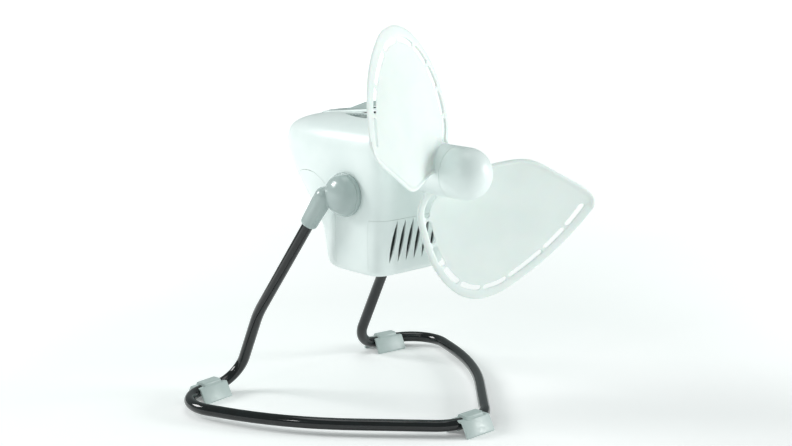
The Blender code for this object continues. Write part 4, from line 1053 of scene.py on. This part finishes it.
def bladeEdge():
    front = through([clockPoint(r, a) for r, a in blade["leading"]], 6)
    back = through([clockPoint(r, a) for r, a in blade["trailing"]], 6)
    tip = clockPoint(blade["radius"], np.linspace(109.0, 148.0, 40))
    root = clockPoint(blade["rootRadius"], np.linspace(212.0, 95.0, 24))
    return front, tip, back, root


# signed distance to a closed loop, positive inside; and distance to an open line
def lineDistance(points, line):
    best = np.full(points.shape[:-1], 1e9)
    for a, b in zip(line[:-1], line[1:]):
        run = b - a
        t = np.clip(((points - a) @ run) / max(run @ run, 1e-12), 0, 1)
        best = np.minimum(best, np.hypot(*np.moveaxis(points - a - t[..., None] * run, -1, 0)))
    return best


def loopDistance(points, loop):
    closed = np.vstack([loop, loop[:1]])
    inside = np.zeros(points.shape[:-1], bool)
    x, z = points[..., 0], points[..., 1]
    for a, b in zip(closed[:-1], closed[1:]):
        crosses = (a[1] > z) != (b[1] > z)
        at = a[0] + (z - a[1]) * (b[0] - a[0]) / (b[1] - a[1] if b[1] != a[1] else 1e-12)
        inside ^= crosses & (x < at)
    return np.where(inside, 1, -1) * lineDistance(points, closed)


def offsetLine(points, distances):
    tangent = np.gradient(points, axis=0)
    tangent /= np.linalg.norm(tangent, axis=1)[:, None]
    return points + np.stack([tangent[:, 1], -tangent[:, 0]], axis=1) * np.asarray(distances)[:, None]


# slots: stadium holes laid end to end along a line just inside the rim
def slotLines():
    _, tip, back, _ = bladeEdge()
    rim = np.vstack([tip, back])
    along = np.concatenate([[0], np.cumsum(np.linalg.norm(np.diff(rim, axis=0), axis=1))])
    inset = np.interp(along, [0, along[-1] * 0.45, along[-1] * 0.62],
                      [blade["rimTip"], blade["rimTip"], blade["rimRoot"]])
    line = offsetLine(rim, inset)
    ahead = line[0] - line[3]
    line = np.vstack([line[:1] + ahead / np.linalg.norm(ahead) * blade["lead"], line])
    length = np.concatenate([[0], np.cumsum(np.linalg.norm(np.diff(line, axis=0), axis=1))])
    shares = np.array([1.5 if i == 2 else 1.0 for i in range(blade["slots"])])
    room = length[-1] - 1.0 - blade["bridge"] * (blade["slots"] - 1)
    start, lines = 0.0, []
    for slotLength in room * shares / shares.sum():
        s = np.linspace(start + blade["slotWidth"] / 2, start + slotLength - blade["slotWidth"] / 2, 6)
        lines.append(np.stack([np.interp(s, length, line[:, 0]), np.interp(s, length, line[:, 1])], axis=1))
        start += slotLength + blade["bridge"]
    return lines


def makeBlades():
    front, tip, back, root = bladeEdge()
    outer = np.vstack([front, tip[1:-1], back])
    loop = np.vstack([outer, root])
    slots = slotLines()

    def flat(a, b):
        return np.stack([a, b], axis=-1)

    def keep(p):
        holes = [lineDistance(p, line) - blade["slotWidth"] / 2 for line in slots]
        return np.minimum.reduce([loopDistance(p, loop), *holes])

    low, high = loop.min(axis=0) - 1.5, loop.max(axis=0) + 1.5
    cell = blade["cell"]
    points, triangles = trimSheet(flat, np.arange(low[0], high[0], cell), np.arange(low[1], high[1], cell),
                                  keep)
    used, triangles = np.unique(triangles, return_inverse=True)
    points, triangles = points[used], triangles.reshape(-1, 3)
    # skin a little thicker at the hub, with a rounded bead along the outer edge
    slotEdge = np.min([lineDistance(points, line) for line in slots], axis=0) - blade["slotWidth"] / 2
    rimDistance = lineDistance(points, np.vstack([tip, back]))
    leadDistance = lineDistance(points, front)
    clock = np.degrees(np.arctan2(*points.T)) % 360
    rimWidth = np.interp(clock, [120, 165, 180], [blade["rimTip"], blade["rimTip"], blade["rimRoot"]])
    rimWidth = rimWidth - blade["slotWidth"] / 2 - 0.2
    # the rim's bead is flat topped and as wide as the rim, the leading edge's is round and narrow
    rimShare = 2 * np.clip(rimDistance / rimWidth, 0, 1) - 1
    leadShare = 2 * np.clip(leadDistance / blade["edgeBead"], 0, 1) - 1
    rimHeight = np.interp(clock, [150, 185], [0.45, 1.0])
    bead = np.maximum(rimHeight * np.sqrt(np.clip(1 - np.abs(rimShare) ** 3, 0, 1)),
                      0.75 * np.sqrt(np.clip(1 - leadShare ** 2, 0, 1)))
    hubDistance = np.hypot(*points.T) - hubShape["radius"]
    flare = 2.6 * np.clip(1 - hubDistance / 5.0, 0, 1) ** 2.2
    ring = 0.22 * np.exp(-(np.clip(slotEdge, 0, 9) / 0.9) ** 2)
    rounding = 0.35 * np.clip(1 - np.minimum(slotEdge, 9) / 0.6, 0, 1)
    frontOffset = -blade["sink"] + blade["beadFront"] * bead + flare + ring - rounding
    backOffset = -blade["sink"] - blade["skin"] - blade["beadBack"] * bead - flare + rounding
    x, z = points.T
    reach = np.minimum(1.0, 149.0 / np.maximum(np.hypot(x, z), 1e-9))
    depth = bladeDepth(x * reach, z * reach)
    slopeX = bladeDepth(x + 0.5, z) - bladeDepth(x - 0.5, z)
    slopeZ = bladeDepth(x, z + 0.5) - bladeDepth(x, z - 0.5)
    normal = np.stack([slopeX, -np.ones_like(x), slopeZ], axis=1)
    normal /= np.linalg.norm(normal, axis=1, keepdims=True)
    middle = np.stack([x, depth, z], axis=1)
    nearSkin = middle + normal * frontOffset[:, None]
    farSkin = middle + normal * backOffset[:, None]
    for i in (1, 2):
        sign = -1.0 if i == 1 else 1.0
        turned = np.array([sign, 1.0, sign])
        skins = [skin * turned * mm + fanAxis for skin in (nearSkin, farSkin)]
        allPoints, faces = closeSkins(skins[0], skins[1], triangles)
        makePiece("softBlade_" + str(i), allPoints, faces, finishes["blade_plastic"], "rotor",
                  ["blade_" + str(i)], 45)


makeBlades()
print("blades made")

bpy.context.view_layer.update()
